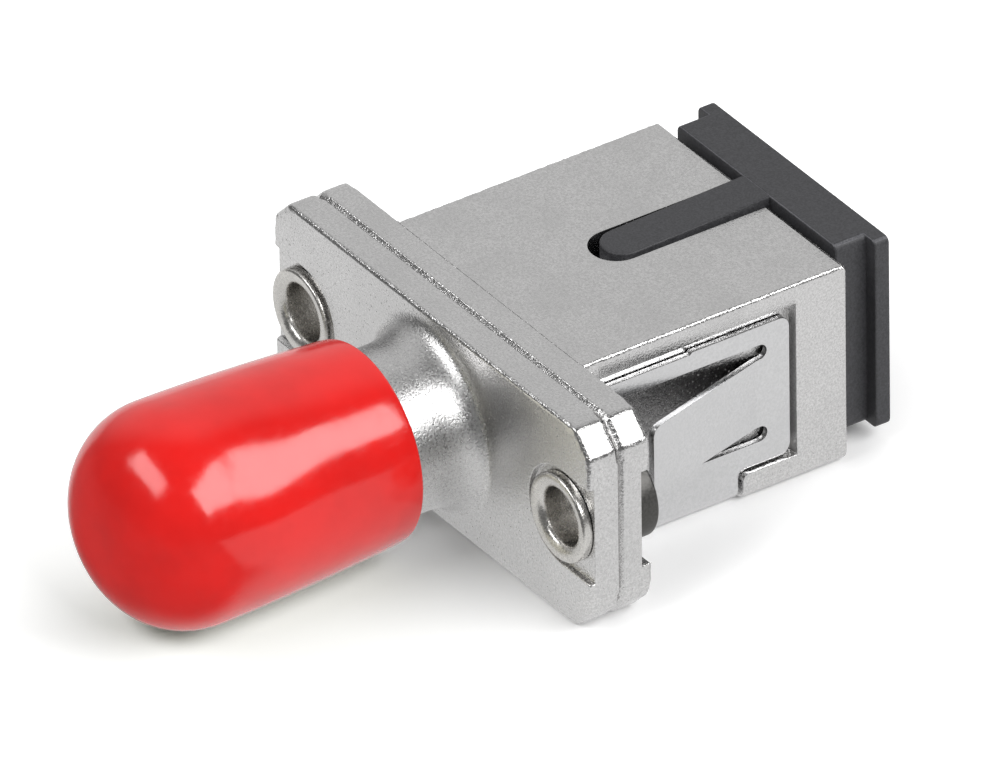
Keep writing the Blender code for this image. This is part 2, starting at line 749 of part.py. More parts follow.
def dome(radius, end, steps):
    """Quarter of an ellipse from the shoulder to the flat of the cap's end."""
    points = []
    for i in range(steps + 1):
        angle = math.pi / 2 * i / steps
        across = CAP_END_FLAT + (radius - CAP_END_FLAT) * math.cos(angle)
        points.append((across, -CAP_SHOULDER - (end - CAP_SHOULDER) * math.sin(angle)))
    return points


def make_st_dust_cap(parts, cutters):
    """Soft cap over the barrel. Two inner grooves let it pass the lugs."""
    inner = BARREL_RADIUS + CAP_PLAY
    inner_end = CAP_END - CAP_WALL
    profile = [(0.0, -inner_end)]
    profile += reversed(dome(inner, inner_end, CAP_CURVE_STEPS))
    profile.append((inner, -CAP_RIM - CAP_LIP_ROUND))
    profile.append((inner + CAP_LIP_ROUND, -CAP_RIM))
    lip_centre = (CAP_RIM_RADIUS - CAP_LIP_ROUND, -CAP_RIM - CAP_LIP_ROUND)
    profile += arc(lip_centre, CAP_LIP_ROUND, 90, 0, EDGE_STEPS)
    for i in range(1, CAP_CURVE_STEPS):
        along = CAP_RIM + (CAP_SHOULDER - CAP_RIM) * i / CAP_CURVE_STEPS
        profile.append((cap_outer(along), -along))
    profile += dome(CAP_RADIUS, CAP_END, CAP_CURVE_STEPS)
    profile.append((0.0, -CAP_END))
    cap = turned("st_dust_cap", profile, parts)
    groove = box(
        "cap_grooves",
        (-LUG_TIP_RADIUS - FIT, -BARREL_REACH + LUG_SETBACK - LUG_RADIUS - FIT, -LUG_RADIUS - FIT),
        (LUG_TIP_RADIUS + FIT, -CAP_RIM + OVERSHOOT, LUG_RADIUS + FIT),
        cutters,
    )
    cut(cap, groove)
    return cap


def make_sc_dust_plug(parts, cutters):
    """Black plug: a gripping block with a lip, two plates inside the port and a key in the keyway."""
    half = PLUG_WIDTH / 2
    outline = rounded_rectangle(-half, half, PLUG_BOTTOM, PLUG_TOP, PLUG_ROUND, PLUG_ROUND)
    middle = (PLUG_LIP_FRONT + PLUG_END) / 2
    plug = outline_solid("sc_dust_plug", outline, "front", PLUG_FRONT, middle, parts)
    wide = half + PLUG_LIP_OVERHANG
    lip_outline = rounded_rectangle(-wide, wide, PLUG_BOTTOM, PLUG_TOP, PLUG_ROUND, PLUG_ROUND)
    join(plug, outline_solid("plug_lip", lip_outline, "front", PLUG_LIP_FRONT, PLUG_END, cutters))
    inside = PLUG_FRONT + OVERSHOOT / 2
    top = PORT_HEIGHT / 2 - PLUG_PLATE_PLAY
    for name, low, high in (
        ("upper_plate", top - PLUG_PLATE_THICKNESS, top),
        ("lower_plate", -top, -top + PLUG_PLATE_THICKNESS),
    ):
        half_plate = PLUG_PLATE_WIDTH / 2
        join(plug, box(name, (-half_plate, PLUG_PLATE_START, low), (half_plate, inside, high), cutters))
    half_key = PLUG_KEY_WIDTH / 2
    points = arc((0.0, PLUG_KEY_START + half_key), half_key, 180, 360, HALF_ROUND_STEPS)
    points += [(half_key, inside), (-half_key, inside)]
    root = top - PLUG_PLATE_THICKNESS / 2
    key = outline_solid("plug_key", points, "top", root, PLUG_KEY_TOP, cutters)
    for vertex in key.data.vertices:
        if vertex.co.z > (root + PLUG_KEY_TOP) / 2:
            vertex.co.z += PLUG_KEY_RISE * (vertex.co.y - PLUG_KEY_START) / (inside - PLUG_KEY_START)
    join(plug, key)
    return plug


def hang(things, frame):
    """Parent pieces to the empty that carries the adapter."""
    for thing in things:
        thing.parent = frame


def paint(things, surface):
    """Give pieces one material and smooth round faces with sharp edges kept."""
    for thing in things:
        thing.data.materials.clear()
        thing.data.materials.append(surface)
        thing.data.shade_smooth()
        thing.data.set_sharp_from_angle(angle=SHARP_ANGLE)


def main():
    clear_scene()
    parts = new_collection("fibre_adapter")
    cutters = new_collection("cutters")
    st_body = make_st_body(parts, cutters)
    sc_housing = make_sc_housing(parts, cutters)
    eyelets = make_eyelets(parts)
    holder = make_st_sleeve_holder(parts)
    sleeve = make_split_sleeve(parts)
    insert = make_sc_insert(parts, cutters)
    hooks = make_connector_hooks(parts)
    clip = make_mounting_clip(parts, cutters)
    tongues = make_clip_tongues(parts)
    cap = make_st_dust_cap(parts, cutters)
    plug = make_sc_dust_plug(parts, cutters)

    paint([st_body, sc_housing], principled("nickel_plate", (0.62, 0.61, 0.6), 0.32, 1.0))
    paint(eyelets, principled("rivet_steel", (0.6, 0.57, 0.53), 0.22, 1.0))
    paint([clip, *tongues], principled("spring_steel", (0.66, 0.66, 0.67), 0.26, 1.0))
    paint([holder], principled("turned_metal", (0.6, 0.58, 0.52), 0.3, 1.0))
    paint([sleeve], principled("zirconia", (0.9, 0.89, 0.85), 0.2, 0.0))
    paint([insert, *hooks], principled("black_insert", (0.03, 0.03, 0.032), 0.45, 0.0))
    paint([cap], principled("red_vinyl", (0.75, 0.015, 0.012), 0.18, 0.0))
    paint([plug], principled("black_plug", (0.045, 0.045, 0.05), 0.5, 0.0))

    frame = bpy.data.objects.new("adapter_frame", None)
    parts.objects.link(frame)
    frame.location = (0.0, -MIDDLE_Y, LOWEST)
    hang([thing for thing in parts.objects if thing is not frame], frame)
    hang(cutters.objects, frame)
    bpy.context.view_layer.update()


main()
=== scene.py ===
"""Hybrid fibre adapter in its finishes: two nickel-plated castings, hollow rivets, a spring clip, a red cap
and a black plug, on a pale floor under soft studio light.

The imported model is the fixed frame. Places are measured from the optical axis and from the seam between the
two flange plates, as in the part's source, and ORIGIN carries them to the frame's own origin.
"""

import math

import bmesh
import bpy
from bpy.props import FloatProperty, FloatVectorProperty, IntProperty, PointerProperty
from mathutils import Matrix, Vector, noise as field


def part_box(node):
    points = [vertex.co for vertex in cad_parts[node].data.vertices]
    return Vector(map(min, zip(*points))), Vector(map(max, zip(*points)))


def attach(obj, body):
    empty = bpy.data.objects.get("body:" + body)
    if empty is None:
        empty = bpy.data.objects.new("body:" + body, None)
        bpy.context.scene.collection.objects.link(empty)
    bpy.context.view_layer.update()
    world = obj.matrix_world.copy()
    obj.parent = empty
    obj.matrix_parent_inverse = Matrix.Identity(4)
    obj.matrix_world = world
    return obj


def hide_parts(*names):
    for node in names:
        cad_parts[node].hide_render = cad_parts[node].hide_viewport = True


bl_info = {
    "name": "Fibre adapter",
    "version": (1, 0, 0),
    "blender": (4, 5, 0),
    "location": "3D View > Sidebar > Adapter",
    "description": "Builds a hybrid fibre adapter with its cap, plug, clip and rivets, and a small studio",
    "category": "Add Mesh",
}

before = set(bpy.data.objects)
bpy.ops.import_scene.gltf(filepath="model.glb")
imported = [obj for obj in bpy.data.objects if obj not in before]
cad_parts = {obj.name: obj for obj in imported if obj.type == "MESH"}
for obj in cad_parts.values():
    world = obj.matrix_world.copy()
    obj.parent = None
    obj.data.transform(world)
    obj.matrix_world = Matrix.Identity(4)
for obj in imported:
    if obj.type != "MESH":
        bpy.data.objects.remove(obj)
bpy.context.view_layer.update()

MM = 0.001
MERGE = 0.0005 * MM
SLIVER_ANGLE = math.radians(0.3)
SHARP_ANGLE = math.radians(34.0)
OVERSHOOT = 1.0 * MM
ROUGH_SEED = 1

# The seam's place along the axis and the axis's height, from the frame
AXIS_HEIGHT = (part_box("st_dust_cap")[0].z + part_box("st_dust_cap")[1].z) / 2
ORIGIN = Vector((0.0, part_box("st_body")[1].y, AXIS_HEIGHT))


def cad_box(node):
    """Lowest and highest corner of a node, measured from the optical axis and the seam."""
    low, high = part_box(node)
    return low - ORIGIN, high - ORIGIN


# Places that other pieces meet, read from the frame
BODY_LOW, BODY_HIGH = cad_box("st_body")
HOUSING_LOW, HOUSING_HIGH = cad_box("sc_housing")
CAP_LOW, CAP_HIGH = cad_box("st_dust_cap")
PLUG_LOW, PLUG_HIGH = cad_box("sc_dust_plug")
CLIP_LOW, CLIP_HIGH = cad_box("mounting_clip")
EYELET_LOW, EYELET_HIGH = cad_box("eyelet_right")
HOLE_X = (EYELET_LOW.x + EYELET_HIGH.x) / 2
EYELET_RADIUS = (EYELET_HIGH.x - EYELET_LOW.x) / 2


def millimetres(label, about, size):
    """A length that a user may change, shown in the sidebar."""
    return FloatProperty(name=label, description=about, default=size * MM, min=0.0, unit="LENGTH", precision=5)


def colour(label, about, value):
    """A colour that a user may change, shown in the sidebar."""
    return FloatVectorProperty(
        name=label, description=about, default=value, size=3, min=0.0, max=1.0, subtype="COLOR"
    )


class AdapterSizes(bpy.types.PropertyGroup):
    """Sizes of the parts that show."""

    front_plate: millimetres("Front plate", "Thickness of the front flange plate", 1.4)
    rear_plate: millimetres("Rear plate", "How far the rear flange plate reaches from the seam", 1.5)
    corner_cut: millimetres("Corner cut", "Size of the cut across each flange corner", 1.05)
    corner_round: millimetres("Corner round", "Rounding beside each corner cut", 0.45)
    rim_round: millimetres("Rim round", "Rounding round the faces of the flange", 0.2)
    seam_chamfer: millimetres("Seam chamfer", "Chamfer of the rear plate beside the seam", 0.26)
    barrel_radius: millimetres("Barrel radius", "Outer radius of the bayonet barrel", 3.5)
    barrel_fillet: millimetres("Barrel fillet", "Reach of the hollow round across the flange", 0.95)
    fillet_length: millimetres("Fillet length", "Reach of the hollow round along the barrel", 1.6)
    mouth_radius: millimetres("Mouth radius", "Inner radius of the barrel's open end", 2.45)
    mouth_depth: millimetres("Mouth depth", "Depth of the barrel's open end", 6.2)
    lug_radius: millimetres("Lug radius", "Radius of each bayonet lug", 0.9)
    pocket_radius: millimetres("Pocket radius", "Radius of the pocket round each rivet head", 2.2)
    hole_radius: millimetres("Hole radius", "Radius of the hole behind each rivet", 1.65)
    bore_radius: millimetres("Rivet bore", "Inner radius of each hollow rivet", 1.22)
    sheet: millimetres("Sheet", "Thickness of the spring clip's sheet", 0.28)
    cap_wall: millimetres("Cap wall", "Thickness of the cap at its round end", 0.85)
    casting_edge: millimetres("Casting edge", "Rounding of the castings' smaller edges", 0.05)
    sheet_edge: millimetres("Sheet edge", "Rounding of the sheared sheet's edges", 0.03)
    plug_edge: millimetres("Plug edge", "Rounding of the plug's edges", 0.08)
    corner_passes: IntProperty(name="Corner softness", description="Rounds of evening out each corner", default=16, min=0)
    round_steps: IntProperty(name="Round steps", description="Faces round a turned shape", default=128, min=24)


class AdapterColours(bpy.types.PropertyGroup):
    """Colours of the finishes, the floor and the light."""

    nickel: colour("Cast nickel", "Nickel plating on the castings", (0.66, 0.655, 0.652))
    rivet: colour("Rivet", "Plating on the rivets", (0.66, 0.645, 0.62))
    spring: colour("Spring steel", "Rolled sheet of the clip", (0.67, 0.67, 0.675))
    turned: colour("Turned metal", "Plated tube inside the barrel", (0.62, 0.59, 0.52))
    vinyl: colour("Cap", "Red vinyl of the cap", (0.8, 0.011, 0.009))
    plug: colour("Plug", "Black plastic of the plug", (0.036, 0.036, 0.039))
    insert: colour("Insert", "Black plastic inside the port", (0.03, 0.03, 0.032))
    ceramic: colour("Ceramic", "White alignment sleeve", (0.88, 0.87, 0.83))
    floor: colour("Floor", "Floor under the adapter", (0.85, 0.85, 0.85))


# Shapes


def new_object(name, mesh):
    """Link a new object that holds this mesh."""
    thing = bpy.data.objects.new(name, mesh)
    bpy.context.scene.collection.objects.link(thing)
    return thing


def as_object(name, shape):
    """Close up a shape, turn its faces outwards and make it an object."""
    bmesh.ops.remove_doubles(shape, verts=shape.verts, dist=MERGE)
    bmesh.ops.recalc_face_normals(shape, faces=shape.faces)
    mesh = bpy.data.meshes.new(name)
    shape.to_mesh(mesh)
    shape.free()
    return new_object(name, mesh)


def in_plane(plane, across, up, along):
    """A point given across and up one plane, and along the axis that the plane leaves free."""
    if plane == "front":
        return Vector((across, along, up))
    if plane == "side":
        return Vector((along, across, up))
    return Vector((across, up, along))


def draw_outline(shape, plane, corners, level):
    """Fill a flat face through (across, up, radius) corners, each rounded by its own radius."""
    points = [shape.verts.new(in_plane(plane, across, up, level)) for across, up, _ in corners]
    edges = [shape.edges.new(pair) for pair in zip(points, points[1:] + points[:1])]
    bmesh.ops.contextual_create(shape, geom=edges)
    places = [Vector(corner[:2]) for corner in corners]
    for i, point in enumerate(points):
        radius = corners[i][2]
        if radius <= 0.0:
            continue
        coming = places[i] - places[i - 1]
        going = places[(i + 1) % len(places)] - places[i]
        turn = coming.angle(going)
        bmesh.ops.bevel(
            shape,
            geom=[point],
            offset=radius * math.tan(turn / 2),
            segments=max(3, round(math.degrees(turn) / 9)),
            profile=0.5,
            affect="VERTICES",
            material=-1,
        )


def prism(name, plane, corners, low, high):
    """Thicken a rounded outline from low to high."""
    shape = bmesh.new()
    draw_outline(shape, plane, corners, low)
    made = bmesh.ops.extrude_face_region(shape, geom=shape.faces[:])
    lifted = [part for part in made["geom"] if isinstance(part, bmesh.types.BMVert)]
    bmesh.ops.translate(shape, verts=lifted, vec=in_plane(plane, 0.0, 0.0, high - low))
    return as_object(name, shape)


def block(name, low, high):
    """A plain block between two corners, for cutting and joining."""
    corners = [(low[0], low[1], 0.0), (high[0], low[1], 0.0), (high[0], high[1], 0.0), (low[0], high[1], 0.0)]
    return prism(name, "top", corners, low[2], high[2])


def turned(name, profile, steps, centre_x=0.0):
    """Turn a profile of (radius, place along the axis) about the optical axis, or a line beside it."""
    shape = bmesh.new()
    points = [shape.verts.new((centre_x + radius, along, 0.0)) for radius, along in profile]
    edges = [shape.edges.new(pair) for pair in zip(points, points[1:])]
    bmesh.ops.spin(
        shape,
        geom=points + edges,
        cent=(centre_x, 0.0, 0.0),
        axis=(0.0, 1.0, 0.0),
        angle=2 * math.pi,
        steps=steps,
        use_merge=True,
    )
    return as_object(name, shape)


def arc(centre, radius, start, end, steps):
    """Points along an arc, angles in degrees, with both ends."""
    points = []
    for i in range(steps + 1):
        angle = math.radians(start + (end - start) * i / steps)
        points.append((centre[0] + radius * math.cos(angle), centre[1] + radius * math.sin(angle)))
    return points


def apply_modifiers(thing):
    """Make the mesh what its modifiers show."""
    shown = thing.evaluated_get(bpy.context.evaluated_depsgraph_get())
    mesh = bpy.data.meshes.new_from_object(shown)
    old = thing.data
    thing.modifiers.clear()
    thing.data = mesh
    bpy.data.meshes.remove(old)


def combine(thing, operation, tools):
    """Join, cut or keep the overlap with each tool in turn, and remove the tools."""
    for tool in tools:
        step = thing.modifiers.new(tool.name, "BOOLEAN")
        step.operation = operation
        step.object = tool
        step.solver = "EXACT"
    apply_modifiers(thing)
    for tool in tools:
        mesh = tool.data
        bpy.data.objects.remove(tool)
        bpy.data.meshes.remove(mesh)


def bevel_edges(thing, width, segments, chosen):
    """Round or chamfer the edges that a test chooses."""
    shape = bmesh.new()
    shape.from_mesh(thing.data)
    edges = [edge for edge in shape.edges if chosen(edge)]
    bmesh.ops.bevel(
        shape,
        geom=edges,
        offset=width,
        segments=segments,
        profile=0.5,
        affect="EDGES",
        material=-1,
    )
    bmesh.ops.recalc_face_normals(shape, faces=shape.faces)
    shape.to_mesh(thing.data)
    shape.free()


def at_level(level):
    """A test for edges that lie flat at one place along the axis."""

    def lies_there(edge):
        return all(abs(vertex.co.y - level) < MERGE for vertex in edge.verts)

    return lies_there


def roughen(thing, axes, near, step=0.12 * MM, amount=0.015 * MM):
    """Cut a rounded edge into short lengths and shift the chosen points a little, as on a tumbled casting."""
    shape = bmesh.new()
    shape.from_mesh(thing.data)
    for axis in axes:
        count = math.ceil(max(abs(vertex.co.dot(axis)) for vertex in shape.verts) / step)
        for i in range(-count, count + 1):
            faces = [face for face in shape.faces if any(near(vertex) for vertex in face.verts)]
            edges = {edge for face in faces for edge in face.edges}
            points = {vertex for face in faces for vertex in face.verts}
            parts = [*points, *edges, *faces]
            bmesh.ops.bisect_plane(shape, geom=parts, plane_co=axis * (i + 0.37) * step, plane_no=axis)
    field.seed_set(ROUGH_SEED)
    for vertex in shape.verts:
        if near(vertex):
            vertex.co += amount * field.noise_vector(vertex.co / (0.16 * MM))
    shape.to_mesh(thing.data)
    shape.free()
    smooth(thing)


def rim_between(low, high, sizes):
    """A test for points of the flange's rim strictly between two places along the axis."""
    rim = 0.3 * MM
    cut_reach = BODY_HIGH.x + BODY_HIGH.z - sizes.corner_cut

    def lies_there(vertex):
        if not low + 4 * MERGE < vertex.co.y < high - 4 * MERGE:
            return False
        x, z = abs(vertex.co.x), abs(vertex.co.z)
        return min(BODY_HIGH.x - x, BODY_HIGH.z - z, (cut_reach - x - z) / math.sqrt(2)) < rim

    return lies_there


def hold_inside(thing, low, high):
    """Bring points that rounding threw beyond a box back to its sides."""
    for vertex in thing.data.vertices:
        for i in range(3):
            vertex.co[i] = max(low[i], min(high[i], vertex.co[i]))


def tuck_in(casting, sizes):
    """Bring points that rounding threw beyond the flange's cut corners back to them."""
    cut_reach = BODY_HIGH.x + BODY_HIGH.z - sizes.corner_cut
    for vertex in casting.data.vertices:
        beyond = abs(vertex.co.x) + abs(vertex.co.z) - cut_reach
        if beyond > 0.0:
            vertex.co.x -= math.copysign(beyond / 2, vertex.co.x)
            vertex.co.z -= math.copysign(beyond / 2, vertex.co.z)


def soften(thing, width, segments=2, spare=None):
    """Round every sharp edge a little, except those that a test spares, and shade the rest smoothly."""
    shape = bmesh.new()
    shape.from_mesh(thing.data)
    bmesh.ops.remove_doubles(shape, verts=shape.verts, dist=2 * MERGE)
    bmesh.ops.dissolve_limit(shape, angle_limit=SLIVER_ANGLE, verts=shape.verts, edges=shape.edges)
    edges = []
    for edge in shape.edges:
        if len(edge.link_faces) != 2 or edge.calc_face_angle() < SHARP_ANGLE:
            continue
        if spare is None or not spare(edge):
            edges.append(edge)
    bmesh.ops.bevel(
        shape,
        geom=edges,
        offset=width,
        segments=segments,
        profile=0.5,
        affect="EDGES",
        material=-1,
        clamp_overlap=False,
        harden_normals=False,
    )
    shape.to_mesh(thing.data)
    shape.free()
    smooth(thing)


def smooth(thing):
    """Shade smoothly, with large flat faces kept flat."""
    thing.data.shade_smooth()
    thing.data.set_sharp_from_angle(angle=SHARP_ANGLE)
    even = thing.modifiers.new("even_shading", "WEIGHTED_NORMAL")
    even.keep_sharp = True
    even.weight = 50
    apply_modifiers(thing)


def settle(thing, body, nodes, slot, *materials):
    """Put a finished piece in the frame's own place, on its body, with its finishes."""
    thing.data.transform(Matrix.Translation(ORIGIN))
    for material in materials:
        thing.data.materials.append(material)
    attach(thing, body)
    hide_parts(*nodes)
    return thing


# Finishes


def add_node(tree, kind, sockets=None, **settings):
    """A new node with its settings, and its sockets filled with values or wired to other sockets."""
    node = tree.nodes.new(kind)
    for name, value in settings.items():
        setattr(node, name, value)
    for name, value in (sockets or {}).items():
        socket = node.inputs[name]
        if isinstance(value, bpy.types.NodeSocket):
            tree.links.new(value, socket)
        else:
            socket.default_value = value
    return node


def maths(tree, operation, first, second=0.5, clamp=False):
    """One sum, and the socket that gives its result."""
    node = add_node(tree, "ShaderNodeMath", {0: first, 1: second}, operation=operation, use_clamp=clamp)
    return node.outputs[0]


def noise(tree, where, scale, detail=3.0, roughness=0.55, lacunarity=2.0):
    """Soft noise at so many features a metre."""
    sockets = {
        "Vector": where,
        "Scale": scale,
        "Detail": detail,
        "Roughness": roughness,
        "Lacunarity": lacunarity,
    }
    return add_node(tree, "ShaderNodeTexNoise", sockets).outputs["Fac"]


def spread(tree, value, low, high, new_low=0.0, new_high=1.0):
    """Stretch part of a range over a new one, with soft ends."""
    sockets = {"Value": value, "From Min": low, "From Max": high, "To Min": new_low, "To Max": new_high}
    node = add_node(tree, "ShaderNodeMapRange", sockets, interpolation_type="SMOOTHSTEP")
    return node.outputs["Result"]


def blend_colours(tree, share, first, second):
    """Mix two colours by a share."""
    node = add_node(tree, "ShaderNodeMix", {"Factor": share}, data_type="RGBA")
    for name, value in (("A", first), ("B", second)):
        socket = next(s for s in node.inputs if s.name == name and s.type == "RGBA")
        if isinstance(value, bpy.types.NodeSocket):
            tree.links.new(value, socket)
        else:
            socket.default_value = (*value, 1.0)
    return next(s for s in node.outputs if s.type == "RGBA")


def new_group(name, inputs, outputs):
    """A shader node group with named inputs, given as (name, default), and outputs."""
    group = bpy.data.node_groups.new(name, "ShaderNodeTree")
    for label, value in inputs:
        kind = "NodeSocketVector" if value is None else "NodeSocketFloat"
        socket = group.interface.new_socket(label, in_out="INPUT", socket_type=kind)
        if value is not None:
            socket.default_value = value
    for label in outputs:
        group.interface.new_socket(label, in_out="OUTPUT", socket_type="NodeSocketFloat")
    start = group.nodes.new("NodeGroupInput")
    end = group.nodes.new("NodeGroupOutput")
    return group, start.outputs, end.inputs


def grain_group():
    """Grain of a cast or moulded skin: its height, a speckle mask and a slow stain mask."""
    found = bpy.data.node_groups.get("cast_grain")
    if found:
        return found
    group, start, end = new_group(
        "cast_grain",
        [("Vector", None), ("Fine", 9000.0), ("Coarse", 2600.0), ("Coarse Share", 0.5)],
        ["Height", "Speckle", "Speck", "Stain"],
    )
    fine = noise(group, start["Vector"], start["Fine"], detail=2.0, roughness=0.7)
    coarse = noise(group, start["Vector"], start["Coarse"], detail=2.0)
    weighted = maths(group, "MULTIPLY", coarse, start["Coarse Share"])
    group.links.new(maths(group, "ADD", fine, weighted), end["Height"])
    group.links.new(spread(group, fine, 0.3, 0.7), end["Speckle"])
    sparse = noise(group, start["Vector"], 8200.0, detail=1.0)
    group.links.new(spread(group, sparse, 0.64, 0.72), end["Speck"])
    stain = noise(group, start["Vector"], 420.0, detail=3.0)
    group.links.new(spread(group, stain, 0.4, 0.68), end["Stain"])
    return group


def place_group(tree, group, sockets):
    """A node that uses a shared group with this finish's own values."""
    node = add_node(tree, "ShaderNodeGroup", None, node_tree=group)
    for name, value in sockets.items():
        if isinstance(value, bpy.types.NodeSocket):
            tree.links.new(value, node.inputs[name])
        else:
            node.inputs[name].default_value = value
    return node


def new_finish(name):
    """An empty finish: its material, tree, shader and the place on the piece."""
    finish = bpy.data.materials.new(name)
    finish.use_nodes = True
    tree = finish.node_tree
    shader = tree.nodes["Principled BSDF"]
    where = add_node(tree, "ShaderNodeTexCoord").outputs["Object"]
    return finish, tree, shader, where


def set_bump(tree, shader, height, depth, strength=1.0):
    """Raise the surface by a height that is at most so deep."""
    sockets = {"Height": height, "Distance": depth, "Strength": strength}
    bump = add_node(tree, "ShaderNodeBump", sockets)
    tree.links.new(bump.outputs["Normal"], shader.inputs["Normal"])


def metal_finish(name, tint, roughness, fine, depth, speckle=0.2, specks=0.0, painted_bounce=1.0, rougher=None, metallic=1.0):
    """Plated metal with a sparkling grain, faint stains and a few dull specks.

    Its picture in other metal can be painted darker by a share, a painted dark reflection, and a mask made by another
    function can roughen it.
    """
    finish, tree, shader, where = new_finish(name)
    grain = place_group(tree, grain_group(), {"Vector": where, "Fine": fine, "Coarse Share": 0.2})
    deep = tuple((1.0 - speckle) * part for part in tint)
    bright = tuple(min(1.0, (1.0 + speckle) * part) for part in tint)
    speckled = blend_colours(tree, grain.outputs["Speckle"], deep, bright)
    stain = maths(tree, "MULTIPLY", grain.outputs["Stain"], 0.35)
    seen = blend_colours(tree, stain, speckled, deep)
    # Painted reflection: glossy rays see this metal at only a share of its tint
    if painted_bounce < 1.0:
        path = add_node(tree, "ShaderNodeLightPath").outputs
        seen = blend_colours(tree, path["Is Glossy Ray"], seen, tuple(painted_bounce * part for part in tint))
    tree.links.new(seen, shader.inputs["Base Color"])
    rough = spread(tree, grain.outputs["Height"], 0.35, 0.8, roughness - 0.05, roughness + 0.06)
    speckled_rough = maths(tree, "ADD", rough, maths(tree, "MULTIPLY", grain.outputs["Speck"], specks))
    if rougher:
        speckled_rough = maths(tree, "ADD", speckled_rough, rougher(tree, where))
    tree.links.new(speckled_rough, shader.inputs["Roughness"])
    shader.inputs["Metallic"].default_value = metallic
    set_bump(tree, shader, grain.outputs["Height"], depth)
    return finish


def vinyl_finish(colours):
    """Glossy dip-moulded vinyl with a faint waviness and a few fine marks, painted pale grey where other surfaces see
    it by reflection or bounced light: a painted reflection and painted bounce light.
    """
    finish, tree, shader, where = new_finish("red_vinyl")
    deep = tuple(0.86 * part for part in colours.vinyl)
    cloud = noise(tree, where, 300.0)
    clouded = blend_colours(tree, spread(tree, cloud, 0.3, 0.7), colours.vinyl, deep)
    # Painted reflection and bounce light: glossy and diffuse rays see the cap pale grey, not red
    path = add_node(tree, "ShaderNodeLightPath").outputs
    painted_bounce = maths(tree, "MAXIMUM", path["Is Glossy Ray"], path["Is Diffuse Ray"])
    dull = (0.74, 0.72, 0.63)
    seen = blend_colours(tree, painted_bounce, clouded, dull)
    tree.links.new(seen, shader.inputs["Base Color"])
    skin = noise(tree, where, 2600.0, detail=4.0, roughness=0.6)
    tree.links.new(spread(tree, skin, 0.35, 0.7, 0.13, 0.2), shader.inputs["Roughness"])
    wave = noise(tree, where, 500.0, detail=1.0)
    ripples = maths(tree, "ADD", maths(tree, "MULTIPLY", wave, 6.0), skin)
    set_bump(tree, shader, ripples, 0.004 * MM)
    shader.inputs["Specular IOR Level"].default_value = 0.65
    return finish


def plastic_finish(name, tint, roughness, depth):
    """Matte moulded plastic with a fine spark-eroded texture."""
    finish, tree, shader, where = new_finish(name)
    grain = place_group(tree, grain_group(), {"Vector": where, "Fine": 11000.0, "Coarse": 3200.0})
    pale = tuple(min(1.0, 1.7 * part) for part in tint)
    tree.links.new(blend_colours(tree, grain.outputs["Speckle"], tint, pale), shader.inputs["Base Color"])
    rough = spread(tree, grain.outputs["Height"], 0.4, 0.95, roughness - 0.07, roughness + 0.07)
    tree.links.new(rough, shader.inputs["Roughness"])
    set_bump(tree, shader, grain.outputs["Height"], depth)
    shader.inputs["Specular IOR Level"].default_value = 0.36
    return finish


def ceramic_finish(tint):
    """Polished white ceramic."""
    finish, tree, shader, where = new_finish("zirconia")
    cloud = noise(tree, where, 1500.0)
    dull = tuple(0.94 * part for part in tint)
    tree.links.new(blend_colours(tree, cloud, tint, dull), shader.inputs["Base Color"])
    tree.links.new(spread(tree, cloud, 0.3, 0.7, 0.14, 0.22), shader.inputs["Roughness"])
    return finish


def shared_finish(name, make):
    """A finish that several pieces use, made once."""
    return bpy.data.materials.get(name) or make()


def rougher_barrel(tree, where):
    """Extra roughness of the barrel and its fillet, fading out over the flange's face."""
    centred = add_node(tree, "ShaderNodeVectorMath", {0: where, 1: ORIGIN}, operation="SUBTRACT")
    place = add_node(tree, "ShaderNodeSeparateXYZ", {"Vector": centred.outputs["Vector"]}).outputs
    across = maths(tree, "MULTIPLY", place["X"], place["X"])
    up = maths(tree, "MULTIPLY", place["Z"], place["Z"])
    from_axis = maths(tree, "SQRT", maths(tree, "ADD", across, up))
    near_axis = spread(tree, from_axis, 6.0 * MM, 4.0 * MM)
    in_front = spread(tree, place["Y"], -1.3 * MM, -1.6 * MM)
    return maths(tree, "MULTIPLY", maths(tree, "MULTIPLY", near_axis, in_front), 0.14)


def cast_nickel(colours):
    """Satin nickel plating on a zinc casting."""

    def make():
        tint = colours.nickel
        return metal_finish(
            "cast_nickel", tint, 0.15, 10500.0, 0.02 * MM, speckle=0.14, specks=0.4, rougher=rougher_barrel
        )

    return shared_finish("cast_nickel", make)


# Pieces


def flange_outline(sizes):
    """Front view of the flange: an oblong with cut corners."""
    half_length = BODY_HIGH.x
    half_height = BODY_HIGH.z
    inner_x = half_length - sizes.corner_cut
    inner_z = half_height - sizes.corner_cut
    quarter = [(half_length, inner_z), (inner_x, half_height)]
    points = list(quarter)
    points += [(-x, z) for x, z in reversed(quarter)]
    points += [(-x, -z) for x, z in quarter]
    points += [(x, -z) for x, z in reversed(quarter)]
    return [(x, z, sizes.corner_round) for x, z in points]


def in_corner(sizes):
    """A test for edges that lie in one of the flange's relaxed corners."""
    inner_x = BODY_HIGH.x - sizes.corner_cut - 0.5 * MM
    inner_z = BODY_HIGH.z - sizes.corner_cut - 0.5 * MM

    def lies_there(edge):
        return all(abs(v.co.x) > inner_x and abs(v.co.z) > inner_z for v in edge.verts)

    return lies_there


